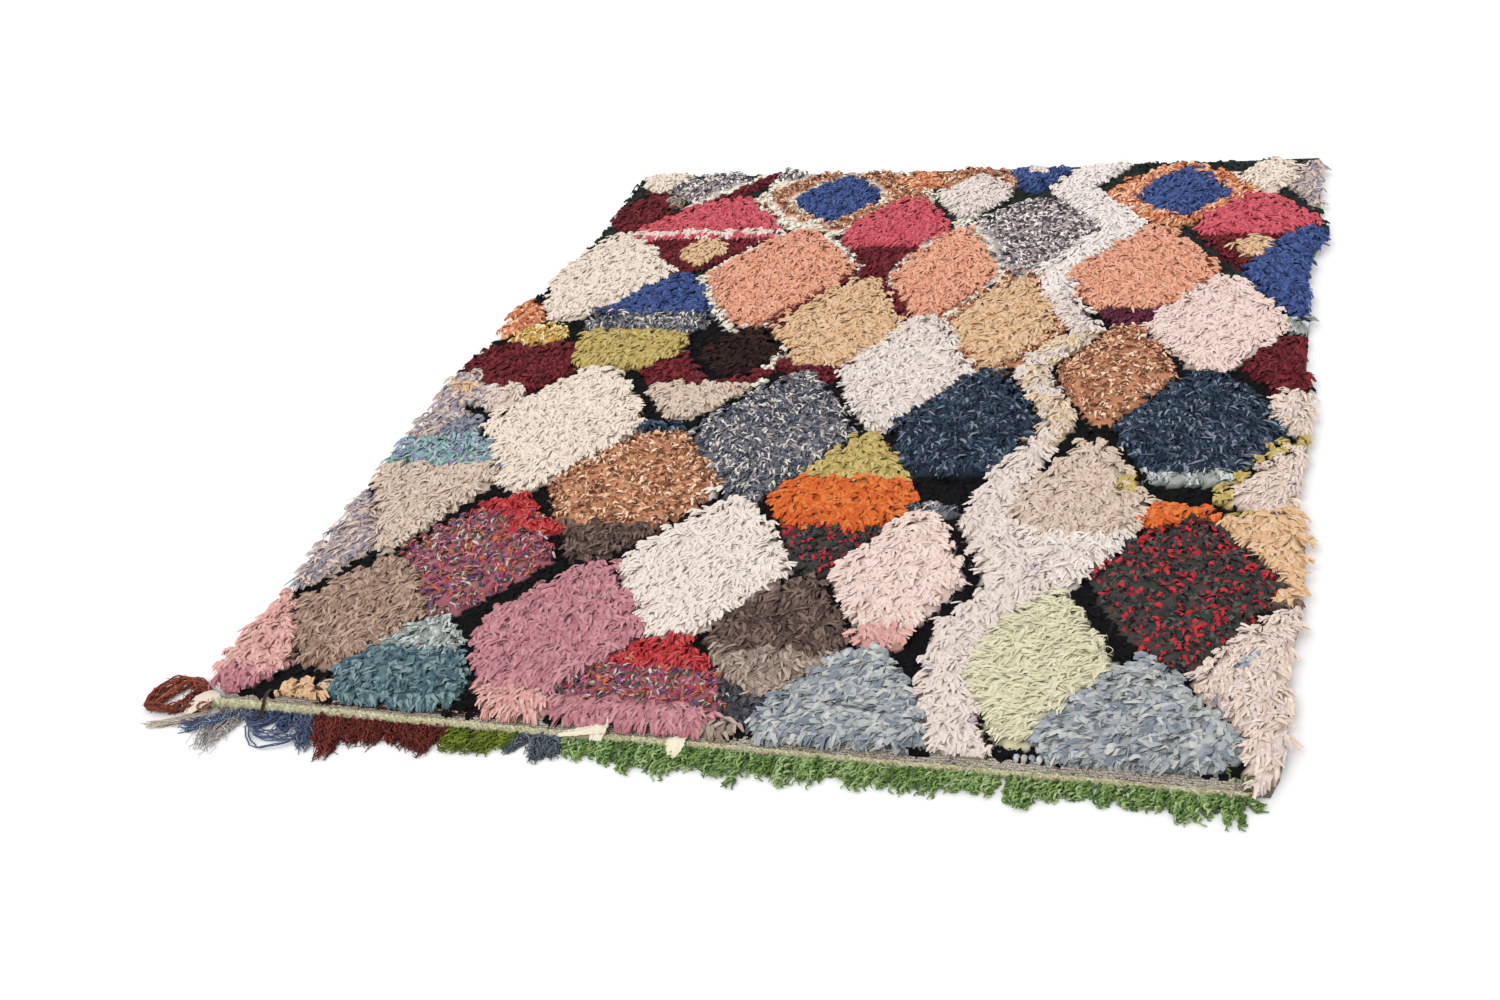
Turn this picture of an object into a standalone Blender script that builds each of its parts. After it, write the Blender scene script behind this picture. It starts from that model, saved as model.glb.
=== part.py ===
"""A shaggy rag rug of the Moroccan kind, lying flat on its back.

The ground cloth and the rag pile knotted into it are one solid, whose top follows the patches
of long pile and the lower lines between them. Round it lie a cord at each end, the yarn fringe
of the near end, two rag ends tied over the near cord and a bunch of yarn loops at one corner.

Units are metres. The origin is on the floor under the middle of the rug. +X runs across the rug,
+Y along it from the fringed end to the far one, and +Z is up.
"""

import math
from collections import namedtuple

import bmesh
import bpy
from mathutils import Matrix, Vector, noise
from mathutils.geometry import delaunay_2d_cdt

RUG_LENGTH = 1.818
GAP = 0.0003

# Heights of the rug above the floor
WEAVE_THICKNESS = 0.0055
LOW_PILE = 0.017
LONG_PILE = 0.030
PILE_EDGE = 0.012
LOCK_TIP_HEIGHT = 0.006
LUMP_HEIGHT = 0.0025
LUMP_WIDTH = 0.035

# The ground cloth shows bare at each end
NEAR_END = -0.918
NEAR_BAND = 0.015
FAR_END = NEAR_END + RUG_LENGTH
FAR_BAND = 0.008
FAR_BOW = 0.012
PILE_STEP = 0.004
END_PITCH = 0.050
BAND_INSET = 0.028

# Locks of pile over the two sides
LOCK_PITCH = 0.022
LOCK_LENGTH = 0.013
SHORT_LOCK = 0.55
INSIDE_MARGIN = 0.014

# A patch's side bulges a little between its points
LOZENGE_POWER = 1.30
SHOULDER = 0.78
RING_PITCH = 0.042
CLOSEST_POINTS = 0.012

NEAR_CORD_RADIUS = 0.006
FAR_CORD_RADIUS = 0.004
CORD_ENDS = (-0.746, 0.710)
FAR_CORD_ENDS = (-0.715, 0.735)
CORD_PITCH = 0.030
CORD_PINCH = 0.90

BACKING_DEPTH = 0.005
BACKING_HEIGHT = 0.005
STRAND_PITCH = 0.0102
STRAND_WIDTH = 0.0078
STRAND_STEPS = 3
STRAND_TIP = 0.35
STRAND_THINNING = 0.55
GROUP_GAP = 0.0008

TAB_WIDTH = 0.022
TAB_THICKNESS = 0.0015
TAB_LANE = 0.018

Patch = namedtuple("Patch", "x y half_width half_height")
PATCHES = [
    Patch(*row)
    for row in (
        # First course, cut by the far end
        (-0.650, 0.840, 0.075, 0.075),
        (-0.535, 0.830, 0.085, 0.090),
        (-0.690, 0.690, 0.085, 0.105),
        (-0.225, 0.735, 0.165, 0.150),
        (-0.065, 0.830, 0.050, 0.045),
        (0.073, 0.750, 0.080, 0.105),
        (0.183, 0.840, 0.060, 0.070),
        (0.487, 0.723, 0.150, 0.130),
        (0.650, 0.810, 0.065, 0.070),
        (0.727, 0.750, 0.045, 0.100),
        # Second course
        (-0.470, 0.580, 0.160, 0.170),
        (-0.063, 0.550, 0.113, 0.168),
        (0.216, 0.537, 0.143, 0.180),
        (0.633, 0.551, 0.110, 0.150),
        # Third course
        (-0.627, 0.387, 0.140, 0.195),
        (-0.256, 0.384, 0.150, 0.190),
        (0.083, 0.391, 0.096, 0.178),
        (0.441, 0.380, 0.140, 0.190),
        (0.709, 0.394, 0.085, 0.180),
        # Fourth course
        (-0.744, 0.210, 0.050, 0.080),
        (-0.670, 0.060, 0.110, 0.110),
        (-0.466, 0.208, 0.140, 0.195),
        (-0.084, 0.201, 0.122, 0.165),
        (0.223, 0.197, 0.088, 0.165),
        (0.594, 0.197, 0.123, 0.170),
        (0.723, 0.200, 0.040, 0.050),
        # Fifth course
        (-0.284, -0.010, 0.125, 0.180),
        (0.083, 0.026, 0.113, 0.190),
        (0.434, 0.030, 0.095, 0.158),
        (0.709, 0.054, 0.065, 0.090),
        # Sixth course
        (-0.740, -0.110, 0.090, 0.100),
        (-0.494, -0.173, 0.145, 0.205),
        (-0.091, -0.184, 0.138, 0.195),
        (0.230, -0.156, 0.120, 0.200),
        (0.590, -0.149, 0.135, 0.190),
        (0.727, -0.091, 0.045, 0.065),
        # Seventh course
        (-0.656, -0.349, 0.120, 0.205),
        (-0.291, -0.363, 0.150, 0.195),
        (0.066, -0.377, 0.118, 0.190),
        (0.427, -0.384, 0.100, 0.200),
        (0.713, -0.277, 0.060, 0.100),
        (0.709, -0.470, 0.080, 0.120),
        # Eighth course
        (-0.731, -0.556, 0.055, 0.135),
        (-0.481, -0.541, 0.130, 0.165),
        (-0.094, -0.559, 0.133, 0.178),
        (0.216, -0.559, 0.112, 0.155),
        (0.599, -0.524, 0.130, 0.190),
        # Ninth course
        (-0.613, -0.724, 0.115, 0.142),
        (-0.277, -0.741, 0.130, 0.180),
        (0.073, -0.706, 0.100, 0.138),
        (0.433, -0.731, 0.105, 0.163),
        (0.709, -0.763, 0.085, 0.175),
        # Tenth course, cut by the near end
        (-0.727, -0.813, 0.065, 0.110),
        (-0.470, -0.870, 0.115, 0.140),
        (-0.091, -0.870, 0.130, 0.145),
        (0.199, -0.863, 0.120, 0.140),
        (0.570, -0.863, 0.130, 0.140),
    )
]

# The pale zigzag that runs the length of the rug, by its turning points
Turn = namedtuple("Turn", "x y")
ZIGZAG = [
    Turn(*row)
    for row in (
        (0.310, 0.900),
        (0.250, 0.760),
        (0.400, 0.585),
        (0.280, 0.390),
        (0.365, 0.175),
        (0.295, 0.030),
        (0.365, -0.140),
        (0.290, -0.370),
        (0.370, -0.580),
        (0.295, -0.710),
        (0.375, -0.880),
    )
]
ZIGZAG_HALF_WIDTH = 0.030

# Where the pile's tips reach at each side, from the near end to the far one
Side = namedtuple("Side", "y left right")
SIDES = [
    Side(*row)
    for row in (
        (-0.918, -0.748, 0.740),
        (-0.862, -0.787, 0.762),
        (-0.700, -0.777, 0.755),
        (-0.500, -0.782, 0.765),
        (-0.300, -0.768, 0.758),
        (-0.050, -0.800, 0.750),
        (0.200, -0.780, 0.736),
        (0.450, -0.745, 0.738),
        (0.600, -0.726, 0.757),
        (0.910, -0.735, 0.752),
    )
]

# The near fringe, one group of yarn for each colour. Reach is how far its strands lie out and
# waver how much that changes.
Group = namedtuple("Group", "name start end reach waver colour")
FRINGE = (
    Group("fringe_lilac", -0.740, -0.668, 0.078, 0.016, (0.42, 0.38, 0.42)),
    Group("fringe_blue", -0.666, -0.566, 0.068, 0.010, (0.05, 0.10, 0.25)),
    Group("fringe_rust", -0.564, -0.346, 0.056, 0.018, (0.17, 0.02, 0.02)),
    Group("fringe_olive", -0.344, -0.246, 0.045, 0.006, (0.12, 0.20, 0.02)),
    Group("fringe_slate", -0.244, -0.176, 0.034, 0.010, (0.06, 0.10, 0.15)),
    Group("fringe_green", -0.174, 0.706, 0.043, 0.013, (0.06, 0.16, 0.03)),
)

# How far the strands drift sideways: they spread out to the left at the left end
SPLAY = 0.026
SPLAY_START = -0.680
DRIFT = 0.006
DRIFT_WIDTH = 0.110

# Rag ends tied over the near cord, by the place of each and its path in Y and Z
TAB_PLACES = {"rag_tab_left": -0.125, "rag_tab_right": -0.014}
Bend = namedtuple("Bend", "ahead z")
TAB_PATH = [
    Bend(*row)
    for row in (
        (-0.0040, 0.0067),
        (-0.0015, 0.0115),
        (0.0063, 0.0134),
        (0.0140, 0.0115),
        (0.0200, 0.0085),
        (0.0300, 0.0045),
        (0.0430, 0.0012),
    )
]

# The bunch of yarn loops at the near left corner. Root is half the spread of a loop's ends in the
# knot, and half_width half the spread of its middle.
KNOT_SIZE = Vector((0.018, 0.030, 0.009))
KNOT_CENTRE = Vector((CORD_ENDS[0] - GAP - 0.009, -0.930, 0.0045))
LOOP_LEAN = math.radians(8)
LOOP_STRAND = 0.0052
LOOP_POINTS = 16
Loop = namedtuple("Loop", "length root half_width")
LOOPS = [Loop(0.096, 0.0125, 0.036), Loop(0.076, 0.0080, 0.022), Loop(0.056, 0.0034, 0.009)]

CREAM = (0.62, 0.60, 0.44)
PILE_COLOUR = (0.45, 0.38, 0.34)
END_GREEN = (0.05, 0.14, 0.06)
RUST = (0.20, 0.03, 0.01)


def clear_scene():
    for item in list(bpy.data.objects):
        bpy.data.objects.remove(item, do_unlink=True)


def collection(name):
    made = bpy.data.collections.new(name)
    bpy.context.scene.collection.children.link(made)
    return made


def textile(name, colour):
    """A matt yarn or rag material."""
    made = bpy.data.materials.new(name)
    made.use_nodes = True
    shader = made.node_tree.nodes["Principled BSDF"]
    shader.inputs["Base Color"].default_value = (*colour, 1.0)
    shader.inputs["Roughness"].default_value = 0.9
    shader.inputs["Metallic"].default_value = 0.0
    return made


def place(name, mesh, colour, home):
    made = bpy.data.objects.new(name, mesh)
    mesh.materials.append(textile(name, colour))
    home.objects.link(made)
    return made


def mesh_of(name, build):
    """A mesh from the bmesh that build fills."""
    bm = bmesh.new()
    build(bm)
    bmesh.ops.recalc_face_normals(bm, faces=bm.faces)
    made = bpy.data.meshes.new(name)
    bm.to_mesh(made)
    bm.free()
    return made


def smooth(share):
    share = min(max(share, 0.0), 1.0)
    return share * share * (3.0 - 2.0 * share)


def between(rows, y, column):
    """The column's value at y, read smoothly between the rows of a table."""
    for low, high in zip(rows, rows[1:]):
        if y <= high.y:
            share = smooth((y - low.y) / (high.y - low.y))
            return getattr(low, column) * (1.0 - share) + getattr(high, column) * share
    return getattr(rows[-1], column)


def far_edge(x):
    """The far end's Y, which bows in towards the middle."""
    return FAR_END - FAR_BOW * math.cos(math.pi * x / 1.5)


def lozenge_share(patch, x, y):
    """How far a point is from the patch's middle, as a share of the way to its outline."""
    across = abs(x - patch.x) / patch.half_width
    along = abs(y - patch.y) / patch.half_height
    return (across**LOZENGE_POWER + along**LOZENGE_POWER) ** (1.0 / LOZENGE_POWER)


def zigzag_share(x, y):
    point = Vector((x, y))
    nearest = 9.0
    for start, end in zip(ZIGZAG, ZIGZAG[1:]):
        a, b = Vector(start), Vector(end)
        share = (point - a).dot(b - a) / (b - a).length_squared
        foot = a.lerp(b, min(max(share, 0.0), 1.0))
        nearest = min(nearest, (point - foot).length)
    return nearest / ZIGZAG_HALF_WIDTH


def pile_height(x, y):
    """The top of the pile: high on a patch, low on the lines between, lowest at the rim."""
    ahead = y - (NEAR_END + NEAR_BAND)
    behind = far_edge(x) - FAR_BAND - y
    if min(ahead, behind) < 1e-6:
        return WEAVE_THICKNESS
    share = min(zigzag_share(x, y), *(lozenge_share(patch, x, y) for patch in PATCHES))
    height = LOW_PILE + (LONG_PILE - LOW_PILE) * smooth((1.0 - share) / (1.0 - SHOULDER))
    height += LUMP_HEIGHT * noise.noise(Vector((x, y, 0.0)) / LUMP_WIDTH)
    left, right = between(SIDES, y, "left"), between(SIDES, y, "right")
    inside = min(x - left, right - x) - LOCK_LENGTH
    if inside < 0.0:
        return PILE_EDGE + (PILE_EDGE - LOCK_TIP_HEIGHT) * inside / LOCK_LENGTH
    edge = smooth(min(inside, ahead, behind) / 0.03)
    return PILE_EDGE + (height - PILE_EDGE) * edge


def lozenge_ring(patch, share, count):
    found = []
    for step in range(count):
        angle = 2.0 * math.pi * (step + 0.5) / count
        across, along = math.cos(angle), math.sin(angle)
        reach = share / lozenge_share(Patch(0.0, 0.0, 1.0, 1.0), across, along)
        found.append(
            (
                patch.x + across * reach * patch.half_width,
                patch.y + along * reach * patch.half_height,
            )
        )
    return found


def patch_points(patch):
    """An outline, a shoulder, an inner ring and a middle point."""
    rim = 4.0 * math.hypot(patch.half_width, patch.half_height)
    count = max(8, round(rim / RING_PITCH))
    found = lozenge_ring(patch, 1.0, count)
    found += lozenge_ring(patch, SHOULDER, max(6, round(count * 0.75)))
    found += lozenge_ring(patch, 0.40, max(4, round(count * 0.3)))
    return [*found, (patch.x, patch.y)]


def zigzag_points():
    """Points down both sides and the middle of the zigzag."""
    found = []
    for start, end in zip(ZIGZAG, ZIGZAG[1:]):
        a, b = Vector(start), Vector(end)
        side = (b - a).orthogonal().normalized() * ZIGZAG_HALF_WIDTH
        count = round((b - a).length / RING_PITCH)
        for step in range(count):
            middle = a.lerp(b, step / count)
            found += [tuple(middle + side), tuple(middle), tuple(middle - side)]
    return found


def thinned(points, kept):
    """The points again, without any that is too near one kept before it."""
    cells = {}

    def near(point):
        column, row = (math.floor(value / CLOSEST_POINTS) for value in point)
        for i in (-1, 0, 1):
            for j in (-1, 0, 1):
                for other in cells.get((column + i, row + j), ()):
                    if math.dist(point, other) < CLOSEST_POINTS:
                        return True
        return False

    found = []
    for count, point in enumerate([*kept, *points]):
        if count < len(kept) or not near(point):
            key = tuple(math.floor(value / CLOSEST_POINTS) for value in point)
            cells.setdefault(key, []).append(point)
            if count >= len(kept):
                found.append(point)
    return found


def side_points(column, outward):
    """One side from near to far: a root, then the tip of a lock, in turn."""
    count = round(RUG_LENGTH / LOCK_PITCH)
    pitch = (RUG_LENGTH - 2.0 * GAP) / count
    found = []
    for step in range(count):
        root_y = NEAR_END + GAP + step * pitch
        tip_y = root_y + pitch * (0.40 + 0.2 * noise.noise(Vector((outward, step * 0.7, 5.0))))
        reach = LOCK_LENGTH * (SHORT_LOCK if step % 3 == 1 else 1.0)
        root_x = between(SIDES, root_y, column) - outward * LOCK_LENGTH
        tip_x = between(SIDES, tip_y, column) + outward * (reach - LOCK_LENGTH)
        found += [(root_x, root_y), (tip_x, tip_y)]
    return found[1:]


def end_points(left, right, edge):
    """An end from left to right, its two corners included."""
    count = round((right - left) / END_PITCH)
    across = [left + (right - left) * step / count for step in range(count + 1)]
    return [(x, edge(x)) for x in across]


def rim_points():
    """The rug's outline, anticlockwise from the near left corner."""
    corners = {
        (end.y, column): getattr(end, column) - outward * LOCK_LENGTH
        for end in (SIDES[0], SIDES[-1])
        for column, outward in (("left", -1), ("right", 1))
    }
    near_y, far_y = SIDES[0].y, SIDES[-1].y
    near = end_points(corners[near_y, "left"], corners[near_y, "right"], lambda x: NEAR_END)
    far = end_points(corners[far_y, "left"], corners[far_y, "right"], far_edge)
    return [*near, *side_points("right", 1), *far[::-1], *side_points("left", -1)[::-1]]


def band_rows():
    """Four rows: the foot and the top of the pile's edge, by the bare cloth of each end."""
    left, right = SIDES[0].left + BAND_INSET, SIDES[0].right - BAND_INSET
    places = [x for x, _ in end_points(left, right, far_edge)]
    near = NEAR_END + NEAR_BAND
    rows = [[(x, near) for x in places], [(x, near + PILE_STEP) for x in places]]
    for back in (FAR_BAND, FAR_BAND + PILE_STEP):
        inner = [x for x in places if SIDES[-1].left + BAND_INSET <= x]
        rows.append([(x, far_edge(x) - back) for x in inner])
    return rows


def inside_rug(point):
    x, y = point
    left, right = between(SIDES, y, "left"), between(SIDES, y, "right")
    margin = LOCK_LENGTH + INSIDE_MARGIN
    across = left + margin < x < right - margin
    along = NEAR_END + NEAR_BAND + INSIDE_MARGIN < y < far_edge(x) - FAR_BAND - INSIDE_MARGIN
    return across and along


def pile_solid(bm):
    """The ground cloth with its pile: a sheet of triangles over the outline, walls and a back."""
    rim = rim_points()
    rows = band_rows()
    bands = [point for row in rows for point in row]
    field = zigzag_points()
    for patch in PATCHES:
        field += patch_points(patch)
    field = thinned([p for p in field if inside_rug(p)], bands)
    creases = []
    start = len(rim)
    for row in rows:
        creases += [(index, index + 1) for index in range(start, start + len(row) - 1)]
        start += len(row)
    points = [Vector(p) for p in [*rim, *bands, *field]]
    border = list(range(len(rim)))
    flat, _, faces, *_ = delaunay_2d_cdt(points, creases, [border], 1, 1e-6)
    corners = [bm.verts.new((p.x, p.y, pile_height(p.x, p.y))) for p in flat]
    for face in faces:
        bm.faces.new([corners[index] for index in face])
    open_edges = [edge for edge in bm.edges if edge.is_boundary]
    walls = bmesh.ops.extrude_edge_only(bm, edges=open_edges)["geom"]
    for item in walls:
        if isinstance(item, bmesh.types.BMVert):
            item.co.z = 0.0
    floor_edges = [item for item in walls if isinstance(item, bmesh.types.BMEdge) and item.is_boundary]
    bmesh.ops.holes_fill(bm, edges=floor_edges, sides=0)


def cord(name, ends, radius, centre_y, colour, home):
    """A lumpy cord on the floor along one end, with pinched and full places in turn."""
    data = bpy.data.curves.new(name, "CURVE")
    data.dimensions = "3D"
    data.bevel_depth = radius
    data.bevel_resolution = 2
    data.use_fill_caps = True
    spline = data.splines.new("POLY")
    count = round((ends[1] - ends[0]) / CORD_PITCH)
    spline.points.add(count)
    for step, point in enumerate(spline.points):
        x = ends[0] + (ends[1] - ends[0]) * step / count
        point.co = (x, centre_y(x), radius, 1.0)
        point.radius = CORD_PINCH if step % 2 else 1.0
    made = bpy.data.objects.new(name, data)
    data.materials.append(textile(name, colour))
    home.objects.link(made)
    return made


def drift(x):
    """How far a strand's tip lies to the right of its root."""
    splay = -SPLAY * smooth((SPLAY_START - x) / (SPLAY_START - CORD_ENDS[0]))
    return splay + DRIFT * noise.noise(Vector((x / DRIFT_WIDTH, 8.0, 0.0)))


def strand(bm, root, group, front_y):
    """One lock of yarn, drawn out of a face of its backing, level on the floor and tapered."""
    x = root.calc_center_median().x
    waver = noise.noise(Vector((x * 31.0, 1.0, 0.0))) + noise.noise(Vector((x * 190.0, 2.0, 0.0)))
    reach = group.reach + group.waver * waver
    front = root
    for step in range(1, STRAND_STEPS + 1):
        share = step / STRAND_STEPS
        front = bmesh.ops.extrude_discrete_faces(bm, faces=[front])["faces"][0]
        middle = front.calc_center_median()
        width = STRAND_WIDTH * (1.0 - (1.0 - STRAND_TIP) * share * share)
        for vert in front.verts:
            side = 1.0 if vert.co.x > middle.x else -1.0
            top = vert.co.z > middle.z
            vert.co.x = x + drift(x) * share * share + side * width / 2.0
            vert.co.y = front_y - share * reach
            vert.co.z = BACKING_HEIGHT * (1.0 - STRAND_THINNING * share) if top else 0.0


def strand_places(group):
    """The strands' places along the backing, with a lane left free under each rag end."""
    room = group.end - group.start - STRAND_PITCH
    count = round(room / STRAND_PITCH)
    places = [group.start + STRAND_PITCH / 2.0 + room * step / count for step in range(count + 1)]
    return [x for x in places if all(abs(x - tab) > TAB_LANE for tab in TAB_PLACES.values())]


def fringe_strip(bm, group, back_y):
    """A narrow backing strip with a lock of yarn drawn out of each place along its front."""
    front_y = back_y - BACKING_DEPTH
    places = strand_places(group)
    sides = [x + side * STRAND_WIDTH / 2.0 for x in places for side in (-1, 1)]
    marks = [group.start + GROUP_GAP / 2.0, *sides, group.end - GROUP_GAP / 2.0]
    bmesh.ops.create_grid(bm, x_segments=len(marks) - 1, y_segments=1, size=0.5)
    for vert in bm.verts:
        column = round((vert.co.x + 0.5) * (len(marks) - 1))
        vert.co = (marks[column], front_y, BACKING_HEIGHT if vert.co.y > 0 else 0.0)
    roots = [face for face in bm.faces if min(abs(face.calc_center_median().x - x) for x in places) < 1e-4]
    drawn_back = bmesh.ops.extrude_face_region(bm, geom=list(bm.faces))["geom"]
    for item in drawn_back:
        if isinstance(item, bmesh.types.BMVert):
            item.co.y = back_y
    for root in roots:
        strand(bm, root, group, front_y)


def union(target, other, helpers):
    helpers.objects.link(other)
    other.hide_render = True
    other.display_type = "WIRE"
    join = target.modifiers.new("join_" + other.name, "BOOLEAN")
    join.operation = "UNION"
    join.solver = "EXACT"
    join.object = other


def rag_tab(name, x, home):
    """A rag end over the cord and down to the floor: a strip with thickness."""

    def build(bm):
        last = None
        for step, bend in enumerate(TAB_PATH):
            width = TAB_WIDTH * (1.0 - 0.04 * step)
            y = NEAR_END - bend.ahead
            pair = [bm.verts.new((x + side * width / 2.0, y, bend.z)) for side in (-1, 1)]
            if last:
                bm.faces.new((*last, *pair[::-1]))
            last = pair

    made = place(name, mesh_of(name, build), CREAM, home)
    thick = made.modifiers.new("thickness", "SOLIDIFY")
    thick.thickness = TAB_THICKNESS
    thick.offset = 0.0


def yarn_loop(loop, number):
    """One loop of yarn, both ends in the knot, as a tube that is flat where it meets the floor."""
    data = bpy.data.curves.new(f"yarn_loop_{number}", "CURVE")
    data.dimensions = "3D"
    data.twist_mode = "Z_UP"
    data.use_fill_caps = True
    half_side = LOOP_STRAND / 2.0
    data.bevel_depth = half_side * math.sqrt(2.0)
    data.bevel_resolution = 0
    spline = data.splines.new("POLY")
    spline.points.add(LOOP_POINTS)
    turn = Matrix.Rotation(LOOP_LEAN, 3, "Z")
    for step, point in enumerate(spline.points):
        angle = math.pi * step / LOOP_POINTS
        side = (loop.root + (loop.half_width - loop.root) * math.sin(angle)) * math.cos(angle)
        out = loop.length * math.sin(angle) ** 0.8
        point.co = (*(KNOT_CENTRE + turn @ Vector((-out, side, 0.0))).xy, half_side, 1.0)
        point.tilt = math.pi / 4.0
    shape = bpy.data.objects.new(data.name, data)
    bpy.context.scene.collection.objects.link(shape)
    graph = bpy.context.evaluated_depsgraph_get()
    mesh = bpy.data.meshes.new_from_object(shape.evaluated_get(graph))
    bpy.data.objects.remove(shape)
    return bpy.data.objects.new(f"yarn_loop_{number}", mesh)


def corner_loops(home, helpers):
    """Nested yarn loops, fused into the knot that ties them to the corner."""

    def knot(bm):
        size = Matrix.Diagonal((*KNOT_SIZE, 1.0))
        bmesh.ops.create_cube(bm, size=1.0, matrix=Matrix.Translation(KNOT_CENTRE) @ size)

    made = place("corner_loops", mesh_of("corner_loops", knot), RUST, home)
    for number, loop in enumerate(LOOPS):
        union(made, yarn_loop(loop, number), helpers)


def build_rug():
    clear_scene()
    home = collection("rag_rug")
    helpers = collection("helpers")
    helpers.hide_render = True
    place("pile_field", mesh_of("pile_field", pile_solid), PILE_COLOUR, home)
    near_y = NEAR_END - GAP - NEAR_CORD_RADIUS
    cord("near_edging", CORD_ENDS, NEAR_CORD_RADIUS, lambda x: near_y, CREAM, home)
    far_radius = FAR_CORD_RADIUS
    cord("far_edging", FAR_CORD_ENDS, far_radius, lambda x: far_edge(x) + GAP + far_radius, END_GREEN, home)
    for group in FRINGE:
        back_y = near_y - NEAR_CORD_RADIUS - GAP
        strip = mesh_of(group.name, lambda bm, group=group, y=back_y: fringe_strip(bm, group, y))
        place(group.name, strip, group.colour, home)
    for name, x in TAB_PLACES.items():
        rag_tab(name, x, home)
    corner_loops(home, helpers)


build_rug()
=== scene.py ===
"""Looks for a shaggy rag rug of the Moroccan kind, lying flat on a pale studio floor.

The ground cloth is a thin woven sheet. Every knot in it holds a few cut rag strips, each a curled
ribbon with its own lay, and the strips of one kind of rag are joined into one mesh. The cords,
fringe yarns, knots of the bare band, rag ends and corner loops are meshes of their own. The tables
of places and strips are in millimetres, and all other sizes in metres.
"""

import math
from collections import namedtuple

import bpy
import numpy as np
from bpy.props import FloatProperty, FloatVectorProperty, IntProperty, PointerProperty
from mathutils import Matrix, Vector, noise


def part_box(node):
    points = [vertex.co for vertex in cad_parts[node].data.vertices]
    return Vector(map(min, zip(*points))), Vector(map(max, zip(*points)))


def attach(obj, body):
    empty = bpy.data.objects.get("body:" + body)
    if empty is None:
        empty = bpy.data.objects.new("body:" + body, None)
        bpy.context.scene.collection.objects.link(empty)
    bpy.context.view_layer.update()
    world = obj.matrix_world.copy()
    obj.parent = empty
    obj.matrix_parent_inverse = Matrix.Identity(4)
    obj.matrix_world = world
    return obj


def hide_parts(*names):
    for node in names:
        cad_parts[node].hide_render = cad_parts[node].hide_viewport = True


bl_info = {
    "name": "Shaggy Rag Rug",
    "version": (1, 0, 0),
    "blender": (4, 5, 0),
    "location": "View3D > Sidebar > Rag Rug",
    "description": "Builds a knotted rag rug in a lozenge lattice, with its cords, fringe and stage",
    "category": "Add Mesh",
}

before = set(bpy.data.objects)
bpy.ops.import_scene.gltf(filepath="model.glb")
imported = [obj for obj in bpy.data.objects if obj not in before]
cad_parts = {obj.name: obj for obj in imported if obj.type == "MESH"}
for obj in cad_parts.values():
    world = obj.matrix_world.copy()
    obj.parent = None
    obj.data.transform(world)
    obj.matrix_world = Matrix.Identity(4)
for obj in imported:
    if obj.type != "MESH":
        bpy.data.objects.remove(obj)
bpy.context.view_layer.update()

FIELD_LOW, FIELD_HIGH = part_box("pile_field")
CORD_LOW, CORD_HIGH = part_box("near_edging")
FAR_CORD_LOW, FAR_CORD_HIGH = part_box("far_edging")
NEAR_END = FIELD_LOW.y
FAR_END = FIELD_HIGH.y
FAR_BOW = 0.012
RUG_WIDTH = 1.50
NEAR_BAND = 0.016
WEAVE_TOP = 0.0040

# The photograph's view of the rug
CAMERA_PLACE = (0.797224, -2.420100, 1.463994)
CAMERA_TURN = tuple(math.radians(angle) for angle in (56.4865, 9.1794, 17.1954))
CAMERA_LENS = 40.31
SENSOR_WIDTH = 36.0

# The studio's floor and key light
FLOOR_REACH = 9.0
KEY_SPREAD = math.radians(35)
KEY_TURN = (math.radians(32), math.radians(-16), 0.0)


def mm(*values):
    """Metres from millimetres."""
    return tuple(value / 1000.0 for value in values)


# Where the pile's tips reach: Y, left side and right side, from the near end to the far one
SIDES = np.array((
    (-918, -742, 750), (-896, -762, 758), (-862, -785, 762), (-750, -782, 766), (-680, -777, 757),
    (-590, -782, 772), (-500, -784, 772), (-420, -784, 771), (-340, -786, 758), (-230, -792, 760),
    (-120, -787, 768), (-30, -798, 763), (50, -806, 756), (140, -780, 755), (260, -784, 754),
    (330, -760, 748), (430, -750, 746), (500, -742, 758), (570, -736, 780), (640, -736, 760),
    (910, -744, 754),
)) / 1000.0
SIDE_OVERHANG = 0.018

Rag = namedtuple("Rag", "name height reach width strips lay spread crumple tip colours")


def rag(name, height, reach, width, strips, lay, spread, crumple, tip, *colours):
    """A kind of rag: the height and reach of its strips, their width, how many one knot holds, the
    way that they lie and how unevenly in degrees, how crumpled they are, the width of their tips as
    a share, and the colours that they were cut from."""
    angles = (math.radians(lay), math.radians(spread))
    return Rag(name, *mm(height, reach, width), strips, *angles, crumple, tip, colours)


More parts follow.
